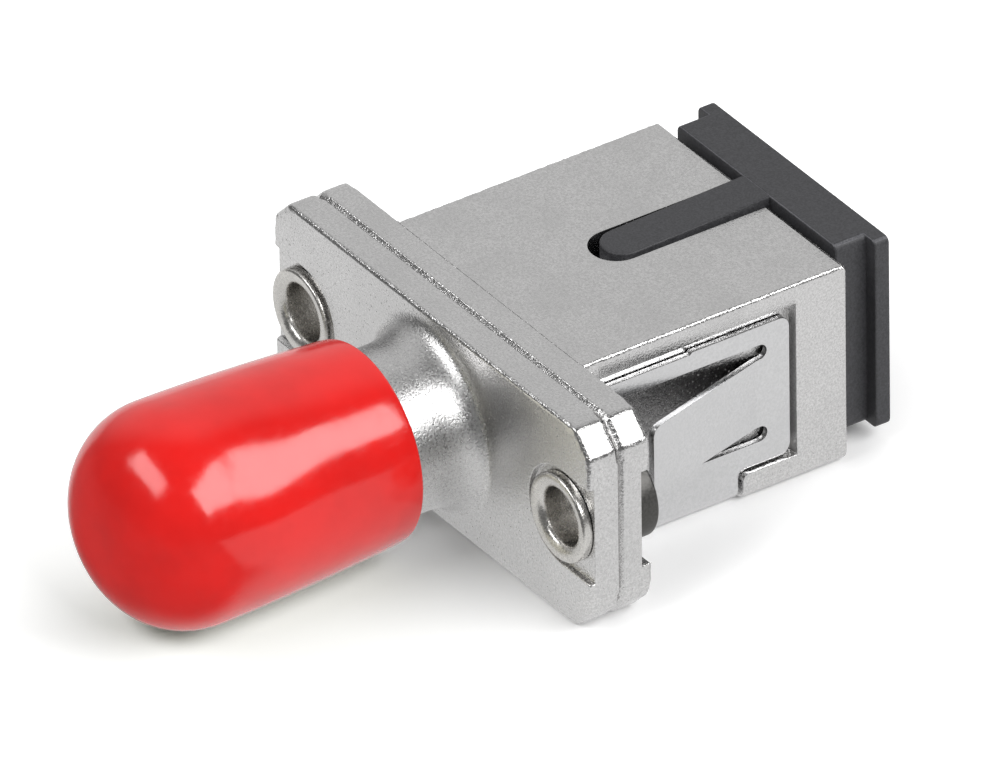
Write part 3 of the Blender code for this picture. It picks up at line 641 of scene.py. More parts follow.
def relax_corners(plate, sizes, low, high):
    """Cut the flange's four corners into small faces and even them out, so that each cut corner swells."""
    reach = sizes.corner_cut + 0.5 * MM
    step = 0.11 * MM
    shape = bmesh.new()
    shape.from_mesh(plate.data)
    lines = []
    for axis, end in ((Vector((1.0, 0.0, 0.0)), BODY_HIGH.x), (Vector((0.0, 0.0, 1.0)), BODY_HIGH.z)):
        for i in range(1, math.ceil(reach / step) + 1):
            lines += [(axis, end - i * step), (axis, i * step - end)]
    across = Vector((0.0, 1.0, 0.0))
    lines += [(across, low + i * step) for i in range(1, round((high - low) / step))]
    inner_x = BODY_HIGH.x - reach
    inner_z = BODY_HIGH.z - reach
    for axis, place in lines:
        faces = [
            face for face in shape.faces if any(abs(v.co.x) > inner_x and abs(v.co.z) > inner_z for v in face.verts)
        ]
        edges = {edge for face in faces for edge in face.edges}
        points = {vertex for face in faces for vertex in face.verts}
        parts = [*points, *edges, *faces]
        bmesh.ops.bisect_plane(shape, geom=parts, plane_co=axis * place, plane_no=axis)
    corners = [v for v in shape.verts if abs(v.co.x) > inner_x and abs(v.co.z) > inner_z]
    for _ in range(sizes.corner_passes):
        bmesh.ops.smooth_vert(
            shape, verts=corners, factor=0.5, use_axis_x=True, use_axis_y=True, use_axis_z=True
        )
    shape.to_mesh(plate.data)
    shape.free()


def hole_tools(sizes, low, high, pocket_low, pocket_high):
    """The two fixing holes of a plate, and the U-shaped pockets round their rivet heads."""
    tools = []
    radius = sizes.hole_radius
    for side, sign in (("left", -1), ("right", 1)):
        profile = [(0.0, low), (radius, low), (radius, high), (0.0, high)]
        tools.append(turned(f"hole_{side}", profile, sizes.round_steps, sign * HOLE_X))
        inner = sign * (HOLE_X - sizes.pocket_radius)
        outer = sign * (BODY_HIGH.x + OVERSHOOT)
        half = sizes.pocket_radius
        corners = [(outer, -half, 0.0), (inner, -half, 0.999 * half), (inner, half, 0.999 * half), (outer, half, 0.0)]
        tools.append(prism(f"pocket_{side}", "front", corners, pocket_low, pocket_high))
    return tools


def make_front_casting(sizes):
    """Front flange plate and bayonet barrel, in one casting."""
    face = -sizes.front_plate
    casting = prism("front_casting", "front", flange_outline(sizes), face, 0.0)
    bevel_edges(casting, sizes.rim_round, 4, at_level(face))

    radius = sizes.barrel_radius
    fillet = sizes.barrel_fillet
    rim = BODY_LOW.y
    rim_round = 0.2 * MM
    profile = [(0.0, face / 2), (radius + fillet, face / 2)]
    for across, along in arc((0.0, 0.0), 1.0, 90, 180, 16):
        share = abs(across) ** 0.8
        profile.append((radius + fillet * (1 - share), face - sizes.fillet_length * (1 - along)))
    profile += arc((radius - rim_round, rim + rim_round), rim_round, 0, -90, 4)
    profile.append((0.0, rim))
    lug_y = rim + 1.8 * MM
    lug_tip = radius + 0.45 * MM
    lugs = []
    for side, sign in (("left", -1), ("right", 1)):
        half = sizes.lug_radius
        low, high = sorted((sign * (sizes.mouth_radius + 0.1 * MM), sign * lug_tip))
        corners = [(lug_y + a * half, b * half, 0.999 * half) for a, b in ((1, 1), (-1, 1), (-1, -1), (1, -1))]
        lugs.append(prism(f"lug_{side}", "side", corners, low, high))
    combine(casting, "UNION", [turned("barrel", profile, sizes.round_steps), *lugs])

    holder_low, holder_high = cad_box("st_sleeve_holder")
    gap = 0.05 * MM
    seat = holder_high.x + gap
    bore = seat - 0.85 * MM
    seat_end = holder_high.y - 0.9 * MM - gap
    mouth_end = rim + sizes.mouth_depth
    profile = [
        (0.0, OVERSHOOT),
        (seat, OVERSHOOT),
        (seat, seat_end),
        (bore, seat_end),
        (bore, mouth_end),
        (sizes.mouth_radius, mouth_end),
        (sizes.mouth_radius, rim - OVERSHOOT),
        (0.0, rim - OVERSHOOT),
    ]
    notch = 0.85 * MM
    tools = [
        turned("bore", profile, sizes.round_steps),
        block("key_notch", (-notch, rim - OVERSHOOT, 0.0), (notch, rim + 2.4 * MM, radius + OVERSHOOT)),
        *hole_tools(sizes, face - OVERSHOOT, OVERSHOOT, face - OVERSHOOT, face + 0.25 * MM),
    ]
    combine(casting, "DIFFERENCE", tools)
    relax_corners(casting, sizes, face, 0.0)
    soften(casting, sizes.casting_edge, spare=in_corner(sizes))
    tuck_in(casting, sizes)
    lengths = (Vector((1.0, 0.0, 0.0)), Vector((0.0, 0.0, 1.0)))
    roughen(casting, lengths, rim_between(face, face + sizes.rim_round, sizes))
    hold_inside(casting, BODY_LOW, BODY_HIGH)
    return casting


def recess_outline(sizes):
    """Side view of the recess that the clip lies in, with the round-nosed ledge behind it."""
    below = HOUSING_LOW.z - OVERSHOOT
    start = sizes.rear_plate
    return [
        (start, below, 0.0),
        (9.05 * MM, below, 0.0),
        (9.05 * MM, -3.4 * MM, 0.3 * MM),
        (11.65 * MM, -3.4 * MM, 0.0),
        (11.65 * MM, 3.7 * MM, 0.0),
        (start, 3.7 * MM, 0.0),
    ]


def mark_recess(casting, floor):
    """Give the end walls of the clip's recess the casting's second finish, where tumbling hardly reaches."""
    for face in casting.data.polygons:
        beside = abs(face.center.x) > floor - MERGE and 8.5 * MM < face.center.y < 11.7 * MM
        if beside and face.normal.y < -0.9:
            face.material_index = 1


def make_rear_casting(sizes):
    """Rear flange plate and rectangular port, in one casting."""
    seam = HOUSING_LOW.y
    back = sizes.rear_plate
    casting = prism("rear_casting", "front", flange_outline(sizes), seam, back)
    bevel_edges(casting, sizes.seam_chamfer, 1, at_level(seam))
    at_back = at_level(back)

    def above_web(edge):
        return at_back(edge) and any(vertex.co.z > 0.0 for vertex in edge.verts)

    bevel_edges(casting, 0.12 * MM, 3, above_web)

    half = 6.5 * MM
    top = 4.6 * MM
    bottom = -4.6 * MM
    end = HOUSING_HIGH.y
    cut = 0.2 * MM
    corners = [(half, bottom, 0.5 * MM), (half, top, 0.0), (-half, top, 0.0), (-half, bottom, 0.5 * MM)]
    port_block = prism("port_block", "front", corners, back / 2, end)

    def top_edge(edge):
        return all(v.co.z > top - MERGE and abs(v.co.x) > half - MERGE for v in edge.verts)

    def in_top_round(vertex):
        across, up = abs(vertex.co.x), vertex.co.z
        inside = half - cut + 4 * MERGE < across < half + MERGE and top - cut + 4 * MERGE < up < top + MERGE
        return inside and back + 0.1 * MM < vertex.co.y < end - 0.1 * MM

    bevel_edges(port_block, cut, 4, top_edge)
    bevel_edges(port_block, 0.08 * MM, 3, at_level(end))
    web = 0.4 * MM
    fillets = []
    for side, sign in (("left", -1), ("right", 1)):
        inner = sign * (half - 0.2 * MM)
        profile = [(inner, back - 0.2 * MM), (sign * (half + web), back - 0.2 * MM), (sign * (half + web), back)]
        hollow = arc((half + web, back + web), web, 270, 180, 8)
        profile += [(sign * x, y) for x, y in hollow[1:]]
        profile.append((inner, back + web))
        points = [(x, y, 0.0) for x, y in profile]
        fillets.append(prism(f"root_fillet_{side}", "top", points, -4.1 * MM, 4.2 * MM))
    combine(casting, "UNION", [port_block, *fillets])

    beyond = end + OVERSHOOT
    key = 1.15 * MM
    key_start = 6.4 * MM
    slot = [(-key, beyond, 0.0), (-key, key_start, 0.999 * key), (key, key_start, 0.999 * key), (key, beyond, 0.0)]
    tools = [
        block("port", (-4.5 * MM, 1.1 * MM, -3.7 * MM), (4.5 * MM, beyond, 3.7 * MM)),
        block("insert_pocket", (-5.5 * MM, -OVERSHOOT, -3.7 * MM), (5.5 * MM, 1.6 * MM, 3.7 * MM)),
        prism("keyway", "top", slot, 0.0, top + OVERSHOOT),
        block("web_recess", (-half, back, bottom - OVERSHOOT), (half, 9.05 * MM, -4.3 * MM)),
    ]
    combine(casting, "DIFFERENCE", tools)
    floor = 5.95 * MM
    relief = floor - 0.5 * MM
    tools = [block("hook_relief", (-relief, 2.2 * MM, -2.1 * MM), (relief, 10.9 * MM, 2.1 * MM))]
    for side, sign in (("left", -1), ("right", 1)):
        low, high = sorted((sign * floor, sign * (half + OVERSHOOT)))
        tools.append(prism(f"clip_recess_{side}", "side", recess_outline(sizes), low, high))
    tools += hole_tools(sizes, -OVERSHOOT, back + OVERSHOOT, back - 0.4 * MM, back + OVERSHOOT)
    combine(casting, "DIFFERENCE", tools)
    relax_corners(casting, sizes, seam, back)
    soften(casting, sizes.casting_edge, spare=in_corner(sizes))
    tuck_in(casting, sizes)
    lengths = (Vector((1.0, 0.0, 0.0)), Vector((0.0, 0.0, 1.0)))
    roughen(casting, lengths, rim_between(seam, seam + sizes.seam_chamfer, sizes))
    roughen(casting, lengths[:1], rim_between(back - 0.12 * MM, back, sizes))
    roughen(casting, (Vector((0.0, 1.0, 0.0)),), in_top_round, amount=0.022 * MM)
    hold_inside(casting, HOUSING_LOW, HOUSING_HIGH)
    mark_recess(casting, floor)
    return casting


def head_curve(sizes, tip, inwards):
    """Flared head of a rivet: a thin rolled rim, then a soft slope down into the bore."""
    rim = 0.13 * MM
    drop = 0.34 * MM
    outer = EYELET_RADIUS
    points = [(outer, tip + inwards * 0.22 * MM)]
    for i in range(7):
        angle = math.pi / 2 * i / 6
        points.append((outer - rim * (1 - math.cos(angle)), tip + inwards * rim * (1 - math.sin(angle))))
    width = outer - rim - sizes.bore_radius
    for i in range(1, 13):
        share = i / 12
        points.append((outer - rim - width * share, tip + inwards * drop * (1 - math.sqrt(1 - share**2.2))))
    return points


def make_rivet(name, sizes, sign):
    """One hollow rivet with a rolled head at each end."""
    front = EYELET_LOW.y
    back = EYELET_HIGH.y
    front_seat = -sizes.front_plate + 0.225 * MM
    back_seat = sizes.rear_plate - 0.375 * MM
    shank = 1.6 * MM
    profile = head_curve(sizes, back, -1)[::-1]
    profile += [(EYELET_RADIUS, back_seat), (shank, back_seat), (shank, front_seat), (EYELET_RADIUS, front_seat)]
    profile += head_curve(sizes, front, 1)
    profile.append(profile[0])
    rivet = turned(name, profile, sizes.round_steps, sign * HOLE_X)
    soften(rivet, 0.03 * MM)
    # Painted shade: the rear head, behind the rear plate's seat, takes the dark second finish
    for face in rivet.data.polygons:
        if face.center.y > back_seat - MERGE:
            face.material_index = 1
    return rivet


def mark_cut_edges(sheet, reach):
    """Give the sheared edges of an upright sheet its second finish, duller and painted dark in other metal's
    reflections, so far above and below the axis.
    """
    for face in sheet.data.polygons:
        at_root = abs(face.center.y - TONGUE_ROOT) < 2 * MERGE
        if abs(face.center.z) < reach and abs(face.normal.x) < 0.5 and not at_root:
            face.material_index = 1


def make_clip(sizes):
    """U-shaped spring sheet round the port, with an opening left by each lanced tongue."""
    outer = CLIP_HIGH.x
    inner = outer - sizes.sheet
    top = CLIP_HIGH.z
    bottom = CLIP_LOW.z
    web = bottom + sizes.sheet
    bend = 0.22 * MM
    corners = [
        (outer, top, 0.0),
        (outer, bottom, bend + sizes.sheet),
        (-outer, bottom, bend + sizes.sheet),
        (-outer, top, 0.0),
        (-inner, top, 0.0),
        (-inner, web, bend),
        (inner, web, bend),
        (inner, top, 0.0),
    ]
    start = CLIP_LOW.y
    end = CLIP_HIGH.y
    clip = prism("spring_clip", "front", corners, start, end)
    below = bottom - OVERSHOOT
    notch = 8.95 * MM
    skirt = -3.3 * MM
    step = 0.1 * MM
    side_view = [
        (start - OVERSHOOT, below, 0.0),
        (notch, below, 0.0),
        (notch, skirt, 0.4 * MM),
        (end, skirt, 0.5 * MM),
        (end, top, 0.5 * MM),
        (6.8 * MM, top, 0.0),
        (6.7 * MM, top - step, 0.0),
        (start - OVERSHOOT, top - step, 0.0),
    ]
    combine(clip, "INTERSECT", [prism("clip_side", "side", side_view, -2 * outer, 2 * outer)])
    opening_half = 2.25 * MM
    slot = 0.33 * MM
    root = TONGUE_ROOT
    far = root + slot
    inner_half = opening_half - 2 * slot
    opening = [
        (OPENING_START, -opening_half, 0.1 * MM),
        (far, -opening_half, 0.999 * slot),
        (far, -inner_half, 0.999 * slot),
        (root, -inner_half, 0.0),
        (root, inner_half, 0.0),
        (far, inner_half, 0.999 * slot),
        (far, opening_half, 0.999 * slot),
        (OPENING_START, opening_half, 0.1 * MM),
    ]
    combine(clip, "DIFFERENCE", [prism("openings", "side", opening, -2 * outer, 2 * outer)])

    def at_root(edge):
        return all(abs(v.co.y - root) < 2 * MERGE and abs(v.co.z) < inner_half + MERGE for v in edge.verts)

    soften(clip, sizes.sheet_edge, spare=at_root)
    mark_cut_edges(clip, opening_half + sizes.sheet_edge)
    return clip


TONGUE_ROOT = 10.03 * MM
OPENING_START = 3.45 * MM
TONGUE_LENGTH = 6.45 * MM
TONGUE_FLARE = math.radians(15.2)
BEND_LENGTH = 0.25 * MM


def bend_tongue(vertex):
    """Carry a point of the flat tongue to where the bend at the root puts it."""
    along = TONGUE_ROOT - vertex.co.y
    outward = vertex.co.x
    turned_by = TONGUE_FLARE * min(1.0, max(0.0, along / BEND_LENGTH))
    radius = BEND_LENGTH / TONGUE_FLARE
    bent = min(along, BEND_LENGTH)
    if bent < 0.0:
        return
    straight = max(0.0, along - BEND_LENGTH)
    forward = radius * math.sin(turned_by) + straight * math.cos(turned_by)
    rise = radius * (1.0 - math.cos(turned_by)) + straight * math.sin(turned_by)
    vertex.co.y = TONGUE_ROOT - forward + outward * math.sin(turned_by)
    vertex.co.x = rise + outward * math.cos(turned_by)


def make_tongue(name, sizes, sign):
    """One lanced spring tongue, bent outwards at its root."""
    root_half = 1.59 * MM
    end_half = 1.54 * MM
    end = TONGUE_ROOT - TONGUE_LENGTH
    corner = 0.45 * MM
    corners = [
        (TONGUE_ROOT, -root_half, 0.0),
        (TONGUE_ROOT, root_half, 0.0),
        (end, end_half, corner),
        (end, -end_half, corner),
    ]
    tongue = prism(name, "side", corners, -sizes.sheet, 0.0)

    def at_root(edge):
        return all(abs(v.co.y - TONGUE_ROOT) < 2 * MERGE for v in edge.verts)

    soften(tongue, sizes.sheet_edge, spare=at_root)
    mark_cut_edges(tongue, root_half + OVERSHOOT)
    shape = bmesh.new()
    shape.from_mesh(tongue.data)
    cuts = 16
    for i in range(1, 3 * cuts):
        level = TONGUE_ROOT - BEND_LENGTH * i / cuts
        parts = shape.verts[:] + shape.edges[:] + shape.faces[:]
        bmesh.ops.bisect_plane(shape, geom=parts, plane_co=(0.0, level, 0.0), plane_no=(0.0, 1.0, 0.0))
    for vertex in shape.verts:
        bend_tongue(vertex)
        vertex.co.x += CLIP_HIGH.x
        vertex.co.x *= sign
    shape.normal_update()
    bmesh.ops.recalc_face_normals(shape, faces=shape.faces)
    shape.to_mesh(tongue.data)
    shape.free()
    smooth(tongue)
    return tongue


def cap_profile(sizes):
    """Half outline of the cap, from the middle of its inner end round the rim to its outer end."""
    rim = -CAP_HIGH.y
    end = -CAP_LOW.y
    shoulder = 13.5 * MM
    radius = CAP_HIGH.x
    rim_radius = 4.27 * MM
    inner = sizes.barrel_radius + 0.06 * MM
    inner_end = end - sizes.cap_wall
    flat = 0.85 * MM
    lip = 0.2 * MM
    steps = 20
    profile = [(0.0, -inner_end)]
    for i in range(steps + 1):
        angle = math.pi / 2 * (1 - i / steps)
        across = flat + (inner - flat) * math.cos(angle)
        profile.append((across, -shoulder - (inner_end - shoulder) * math.sin(angle)))
    profile.append((inner, -rim - lip))
    profile.append((inner + lip, -rim))
    profile += arc((rim_radius - lip, -rim - lip), lip, 90, 0, 5)
    for i in range(1, steps):
        share = i / steps
        along = rim + (shoulder - rim) * share
        profile.append((rim_radius + (radius - rim_radius) * (1 - (1 - share) ** 1.6), -along))
    for i in range(steps + 1):
        angle = math.pi / 2 * i / steps
        across = flat + (radius - flat) * math.cos(angle)
        profile.append((across, -shoulder - (end - shoulder) * math.sin(angle)))
    profile.append((0.0, -end))
    return profile


def stretch_over_lugs(thing):
    """Draw the cap's skin flat on one side of each bayonet lug, where the lug stretches it from inside."""
    flat_y = BODY_LOW.y + 0.5 * MM
    depth = 0.2 * MM
    for vertex in thing.data.vertices:
        across = math.hypot(vertex.co.x, vertex.co.z)
        if across < 4.05 * MM:
            continue
        turn = math.atan2(vertex.co.z, vertex.co.x) % math.pi
        near = math.exp(-(((turn - 0.8) / 0.36) ** 2) - ((vertex.co.y - flat_y) / (1.9 * MM)) ** 2)
        wanted = across - depth * near
        vertex.co.x *= wanted / across
        vertex.co.z *= wanted / across


def make_cap(sizes):
    """Soft cap over the barrel, with two grooves that let it pass the lugs."""
    cap = turned("vinyl_cap", cap_profile(sizes), sizes.round_steps)
    stretch_over_lugs(cap)
    reach = 4.0 * MM
    half = 0.95 * MM
    low = BODY_LOW.y + 1.8 * MM - half
    groove = block("grooves", (-reach, low, -half), (reach, CAP_HIGH.y + OVERSHOOT, half))
    combine(cap, "DIFFERENCE", [groove])
    smooth(cap)
    return cap


def make_plug(sizes):
    """Plug with a gripping block, a lip, two plates in the port and a key in the keyway."""
    half = 5.5 * MM
    bottom = PLUG_LOW.z
    top = 4.88 * MM
    front = 14.25 * MM
    lip_front = 15.7 * MM
    end = PLUG_HIGH.y
    corner = 0.3 * MM
    wide = PLUG_HIGH.x

    def body_outline(reach):
        return [(reach, bottom, corner), (reach, top, corner), (-reach, top, corner), (-reach, bottom, corner)]

    plug = prism("port_plug", "front", body_outline(half), front, (lip_front + end) / 2)
    tools = [prism("lip", "front", body_outline(wide), lip_front, end)]
    for part in (plug, tools[0]):
        soften(part, sizes.plug_edge, 3)
    inside = front + 0.5 * MM
    plate_half = 4.3 * MM
    plate_top = 3.5 * MM
    plate_low = plate_top - 0.9 * MM
    start = 6.75 * MM
    for name, low, high in (("upper_plate", plate_low, plate_top), ("lower_plate", -plate_top, -plate_low)):
        tools.append(block(name, (-plate_half, start, low), (plate_half, inside, high)))
    key = 0.95 * MM
    key_start = 6.92 * MM
    key_top = 4.65 * MM
    slot = [(-key, inside, 0.0), (-key, key_start, 0.999 * key), (key, key_start, 0.999 * key), (key, inside, 0.0)]
    bar = prism("key", "top", slot, plate_low + 0.3 * MM, key_top)
    for vertex in bar.data.vertices:
        if vertex.co.z > 4.0 * MM:
            vertex.co.z += (top - key_top) * (vertex.co.y - key_start) / (front - key_start)
            vertex.co.z = min(vertex.co.z, top - 0.01 * MM)
    tools.append(bar)
    for part in tools[1:]:
        soften(part, sizes.plug_edge, 3)
    combine(plug, "UNION", tools)
    hold_inside(plug, PLUG_LOW, PLUG_HIGH)
    smooth(plug)
    for face in plug.data.polygons:
        if 0.3 < face.normal.z < 0.95 and face.center.z > top - sizes.plug_edge and face.center.y > front:
            face.material_index = 1
    return plug


# Operators


class ADAPTER_OT_front_casting(bpy.types.Operator):
    """Build the front flange plate with its barrel"""

    bl_idname = "adapter.front_casting"
    bl_label = "Front casting"

    def execute(self, context):
        sizes = context.scene.adapter_sizes
        colours = context.scene.adapter_colours
        settle(make_front_casting(sizes), "adapter", ["st_body"], "nickel_casting", cast_nickel(colours))
        return {"FINISHED"}


class ADAPTER_OT_rear_casting(bpy.types.Operator):
    """Build the rear flange plate with its port"""

    bl_idname = "adapter.rear_casting"
    bl_label = "Rear casting"

    def execute(self, context):
        sizes = context.scene.adapter_sizes
        colours = context.scene.adapter_colours
        matte = metal_finish("recess_nickel", colours.nickel, 0.35, 10500.0, 0.02 * MM, metallic=0.7)
        finishes = (cast_nickel(colours), matte)
        settle(make_rear_casting(sizes), "adapter", ["sc_housing"], "nickel_casting", *finishes)
        return {"FINISHED"}


class ADAPTER_OT_rivets(bpy.types.Operator):
    """Build the two hollow rivets"""

    bl_idname = "adapter.rivets"
    bl_label = "Rivets"

    def execute(self, context):
        sizes = context.scene.adapter_sizes
        tint = context.scene.adapter_colours.rivet
        finish = metal_finish("rivet_plating", tint, 0.24, 9000.0, 0.01 * MM, speckle=0.14)
        # Painted shade: the rear head, which sits in the shade of the rear plate's pocket, is made at 0.16 of the
        # rivet's tint
        dull = tuple(0.16 * part for part in tint)
        shaded_rear_head = metal_finish("rivet_rear_head_painted_shade", dull, 0.42, 9000.0, 0.01 * MM)
        for side, sign in (("left", -1), ("right", 1)):
            rivet = make_rivet(f"rivet_{side}", sizes, sign)
            settle(rivet, "adapter", [f"eyelet_{side}"], "rivet_steel", finish, shaded_rear_head)
        return {"FINISHED"}


class ADAPTER_OT_spring_clip(bpy.types.Operator):
    """Build the spring clip and its two tongues"""

    bl_idname = "adapter.spring_clip"
    bl_label = "Spring clip"

    def execute(self, context):
        sizes = context.scene.adapter_sizes
        tint = context.scene.adapter_colours.spring
        finish = metal_finish("rolled_spring", tint, 0.16, 9000.0, 0.003 * MM, speckle=0.06)
        # The sheared edges are a duller tint, a real trait, and other metal sees them at a tenth of that: a painted
        # dark reflection
        dull = tuple(0.8 * part for part in tint)
        sheared = metal_finish("sheared_edge_dark_in_reflections", dull, 0.3, 9000.0, 0.008 * MM, painted_bounce=0.1)
        settle(make_clip(sizes), "adapter", ["mounting_clip"], "spring_steel", finish, sheared)
        for side, sign in (("left", -1), ("right", 1)):
            tongue = make_tongue(f"spring_tongue_{side}", sizes, sign)
            settle(tongue, f"tongue_{side}", [f"clip_tongue_{side}"], "spring_steel", finish, sheared)
        return {"FINISHED"}


class ADAPTER_OT_dust_cap(bpy.types.Operator):
    """Build the red cap over the barrel"""

    bl_idname = "adapter.dust_cap"
    bl_label = "Cap"

    def execute(self, context):
        sizes = context.scene.adapter_sizes
        finish = vinyl_finish(context.scene.adapter_colours)
        settle(make_cap(sizes), "dust_cap", ["st_dust_cap"], "red_vinyl", finish)
        return {"FINISHED"}


class ADAPTER_OT_port_plug(bpy.types.Operator):
    """Build the black plug in the port"""

    bl_idname = "adapter.port_plug"
    bl_label = "Port plug"

    def execute(self, context):
        sizes = context.scene.adapter_sizes
        tint = context.scene.adapter_colours.plug
        finish = plastic_finish("matte_plug", tint, 0.46, 0.01 * MM)
        scuffed = plastic_finish("scuffed_plug", tuple(2.2 * part for part in tint), 0.6, 0.02 * MM)
        settle(make_plug(sizes), "dust_plug", ["sc_dust_plug"], "black_plug", finish, scuffed)
        return {"FINISHED"}


class ADAPTER_OT_inner_parts(bpy.types.Operator):
    """Give the parts inside the port and the barrel their finishes"""

    bl_idname = "adapter.inner_parts"
    bl_label = "Inner parts"

    def execute(self, context):
        colours = context.scene.adapter_colours
        black = plastic_finish("moulded_insert", colours.insert, 0.42, 0.003 * MM)
        tube = metal_finish("turned_tube", colours.turned, 0.28, 7000.0, 0.002 * MM, speckle=0.05)
        finishes = {
            "sc_insert": black,
            "connector_hook_left": black,
            "connector_hook_right": black,
            "st_sleeve_holder": tube,
            "split_sleeve": ceramic_finish(colours.ceramic),
        }
        for node, finish in finishes.items():
            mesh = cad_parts[node].data
            mesh.materials.clear()
            mesh.materials.append(finish)
        return {"FINISHED"}


def direction(turn, rise):
    """Unit vector towards a place given by its turn from the front towards the right, and its rise."""
    flat = math.cos(rise)
    return Vector((math.sin(turn) * flat, -math.cos(turn) * flat, math.sin(rise)))


def add_lamp(name, towards, distance, width, height, radiance):
    """A soft rectangular lamp that faces the adapter."""
    lamp = bpy.data.lights.new(name, "AREA")
    lamp.shape = "RECTANGLE"
    lamp.size = width
    lamp.size_y = height
    lamp.energy = math.pi * radiance * width * height
    holder = bpy.data.objects.new(name, lamp)
    bpy.context.scene.collection.objects.link(holder)
    holder.location = ORIGIN + towards * distance
    holder.rotation_mode = "QUATERNION"
    holder.rotation_quaternion = (-towards).to_track_quat("-Z", "Y")
    holder.visible_camera = False
    return holder


def light_room():
    """Dim grey room with one paler side, seen as plain white by the camera."""
    world = bpy.data.worlds.new("studio")
    world.use_nodes = True
    tree = world.node_tree
    tree.nodes.clear()
    looking = add_node(tree, "ShaderNodeTexCoord").outputs["Generated"]
    pale_side = Vector((-0.69, 0.47, 0.55)).normalized()
    facing = add_node(tree, "ShaderNodeVectorMath", {0: looking, 1: pale_side}, operation="DOT_PRODUCT")
    share = spread(tree, facing.outputs["Value"], 0.6, 0.92)
    shade = blend_colours(tree, share, (0.17, 0.17, 0.17), (0.68, 0.68, 0.68))
    path = add_node(tree, "ShaderNodeLightPath")
    seen = blend_colours(tree, path.outputs["Is Camera Ray"], shade, (1.0, 1.0, 1.0))
    glow = add_node(tree, "ShaderNodeBackground", {"Color": seen})
    end = add_node(tree, "ShaderNodeOutputWorld", {"Surface": glow.outputs["Background"]})
    end.is_active_output = True
    bpy.context.scene.world = world


def add_floor(colours):
    """Pale floor that keeps the adapter's nearest shadow, with painted light that lifts the camera's view of it on the
    left and far out, and a painted reflection of it in metal that glows near the adapter and dims further out.
    """
    shape = bmesh.new()
    bmesh.ops.create_grid(shape, x_segments=1, y_segments=1, size=1.5)
    floor = as_object("floor", shape)
    finish, tree, shader, where = new_finish("pale_floor")
    haze = noise(tree, where, 40.0)
    deep = tuple(0.985 * part for part in colours.floor)
    path = add_node(tree, "ShaderNodeLightPath").outputs
    outwards = add_node(tree, "ShaderNodeVectorMath", {0: where, 1: (1.0, -1.0, 0.0)}, operation="DOT_PRODUCT")
    reach = outwards.outputs["Value"]
    place = add_node(tree, "ShaderNodeSeparateXYZ", {"Vector": where}).outputs
    # Painted reflection: the floor as metal sees it glows near the adapter and dims further out, set by place
    beside_flange = spread(tree, place["Y"], -11.0 * MM, -8.0 * MM)
    near = maths(tree, "MAXIMUM", spread(tree, reach, 19.5 * MM, 15.5 * MM, 0.22, 1.0), beside_flange)
    behind_cap = spread(tree, place["Y"], -18.0 * MM, -13.0 * MM, 0.22, 1.0)
    painted_reflection_fade = spread(tree, reach, 0.0, 15.0 * MM, 1.03, 0.97)
    painted_reflection_share = maths(tree, "MULTIPLY", maths(tree, "MINIMUM", near, behind_cap), painted_reflection_fade)
    painted_reflection_colour = blend_colours(tree, painted_reflection_share, (0.0, 0.0, 0.0), (0.3, 0.3, 0.3))
    painted_reflection_glow = blend_colours(tree, painted_reflection_share, (0.0, 0.0, 0.0), (0.57, 0.57, 0.57))
    hazy = blend_colours(tree, haze, colours.floor, deep)
    bright = blend_colours(tree, path["Is Camera Ray"], hazy, (1.0, 1.0, 1.0))
    seen = blend_colours(tree, path["Is Glossy Ray"], bright, painted_reflection_colour)
    tree.links.new(seen, shader.inputs["Base Color"])
    # Painted light: the camera's view of the floor glows on the left and far out, lifting the lamps' shadows there
    left_side = spread(tree, place["X"], 0.0, -8.0 * MM)
    squeezed = add_node(tree, "ShaderNodeVectorMath", {0: where, 1: (1.0, 0.55, 0.0)}, operation="MULTIPLY")
    away = add_node(tree, "ShaderNodeVectorMath", {0: squeezed.outputs["Vector"]}, operation="LENGTH")
    far_side = spread(tree, away.outputs["Value"], 9.0 * MM, 14.0 * MM)
    painted_light_share = maths(tree, "MULTIPLY", maths(tree, "MAXIMUM", left_side, far_side), path["Is Camera Ray"])
    lifted = blend_colours(tree, painted_light_share, (0.0, 0.0, 0.0), (0.4, 0.4, 0.4))
    glow = blend_colours(tree, path["Is Glossy Ray"], lifted, painted_reflection_glow)
    tree.links.new(glow, shader.inputs["Emission Color"])
    shader.inputs["Emission Strength"].default_value = 1.0
    shader.inputs["Roughness"].default_value = 0.9
    shader.inputs["Specular IOR Level"].default_value = 0.1
    floor.data.materials.append(finish)


def add_camera():
    """Camera at the viewing angle of the picture."""
    turn = math.radians(55.9249)
    rise = math.radians(33.1853)
    roll = math.radians(-0.8006)
    distance = 1356.04 * MM
    back = direction(turn, rise)
    right = Vector((math.cos(turn), math.sin(turn), 0.0))
    up = back.cross(right)
    across = math.cos(roll) * right + math.sin(roll) * up
    upward = math.cos(roll) * up - math.sin(roll) * right
    lens = bpy.data.cameras.new("camera")
    lens.lens = 1238.16
    lens.clip_start = 0.1
    lens.clip_end = 10.0
    camera = bpy.data.objects.new("camera", lens)
    bpy.context.scene.collection.objects.link(camera)
    place = ORIGIN + 1.5745 * MM * right + 0.6972 * MM * up + distance * back
    turned_to = Matrix((across, upward, back)).transposed().to_4x4()
    camera.matrix_world = Matrix.Translation(place) @ turned_to
    bpy.context.scene.camera = camera


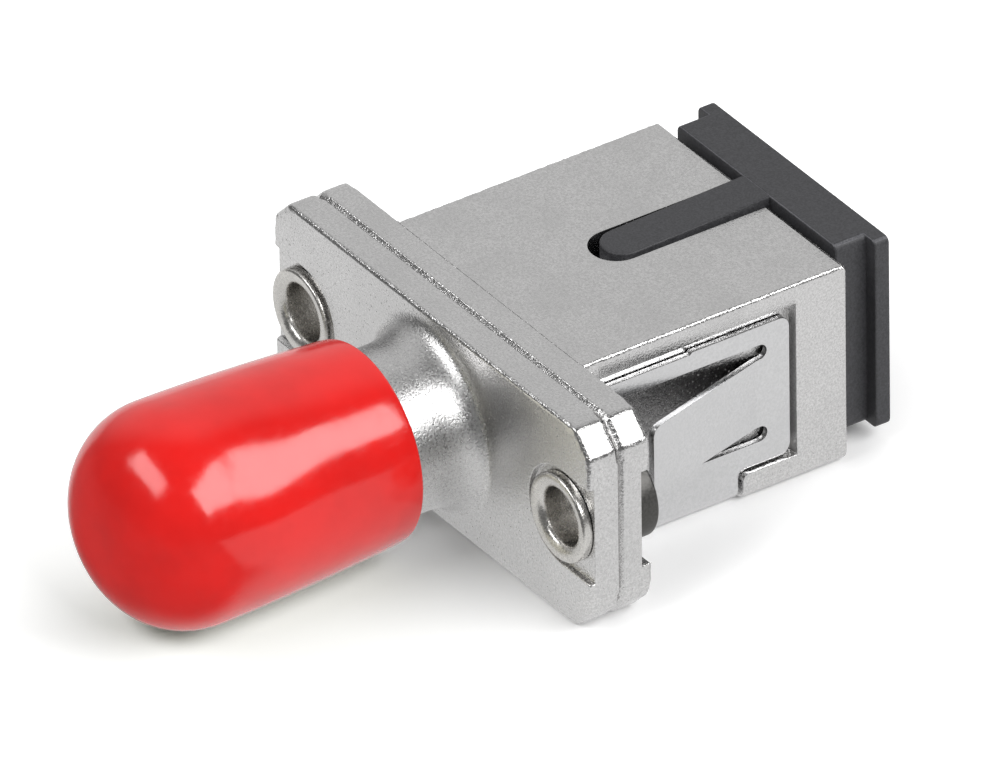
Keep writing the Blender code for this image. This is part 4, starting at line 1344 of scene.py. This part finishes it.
class ADAPTER_OT_studio(bpy.types.Operator):
    """Set up the floor, the lamps, the room and the camera"""

    bl_idname = "adapter.studio"
    bl_label = "Studio"

    def execute(self, context):
        key = direction(math.radians(111.0), math.radians(44.0))
        front = direction(math.radians(-12.0), math.radians(48.0))
        add_lamp("key_lamp", key, 0.4, 0.38, 0.2, 6.0)
        add_lamp("front_lamp", front, 0.4, 0.34, 0.14, 4.5)
        light_room()
        add_floor(context.scene.adapter_colours)
        add_camera()
        context.scene.view_settings.view_transform = "Standard"
        return {"FINISHED"}


class ADAPTER_PT_sidebar(bpy.types.Panel):
    """Sidebar tab with the adapter's sizes, colours and pieces"""

    bl_idname = "ADAPTER_PT_sidebar"
    bl_label = "Fibre adapter"
    bl_space_type = "VIEW_3D"
    bl_region_type = "UI"
    bl_category = "Adapter"

    def draw(self, context):
        layout = self.layout
        for group in (context.scene.adapter_sizes, context.scene.adapter_colours):
            column = layout.column(align=True)
            for name in group.bl_rna.properties.keys():
                if name not in ("rna_type", "name"):
                    column.prop(group, name)
        for step in STEPS:
            layout.operator(step.bl_idname)


STEPS = (
    ADAPTER_OT_front_casting,
    ADAPTER_OT_rear_casting,
    ADAPTER_OT_rivets,
    ADAPTER_OT_spring_clip,
    ADAPTER_OT_dust_cap,
    ADAPTER_OT_port_plug,
    ADAPTER_OT_inner_parts,
    ADAPTER_OT_studio,
)
CLASSES = (AdapterSizes, AdapterColours, *STEPS, ADAPTER_PT_sidebar)


def register():
    for kind in CLASSES:
        bpy.utils.register_class(kind)
    bpy.types.Scene.adapter_sizes = PointerProperty(type=AdapterSizes)
    bpy.types.Scene.adapter_colours = PointerProperty(type=AdapterColours)


def unregister():
    del bpy.types.Scene.adapter_colours
    del bpy.types.Scene.adapter_sizes
    for kind in reversed(CLASSES):
        bpy.utils.unregister_class(kind)


def main():
    register()
    bpy.ops.adapter.front_casting()
    bpy.ops.adapter.rear_casting()
    bpy.ops.adapter.rivets()
    bpy.ops.adapter.spring_clip()
    bpy.ops.adapter.dust_cap()
    bpy.ops.adapter.port_plug()
    bpy.ops.adapter.inner_parts()
    bpy.ops.adapter.studio()


if __name__ == "__main__":
    main()
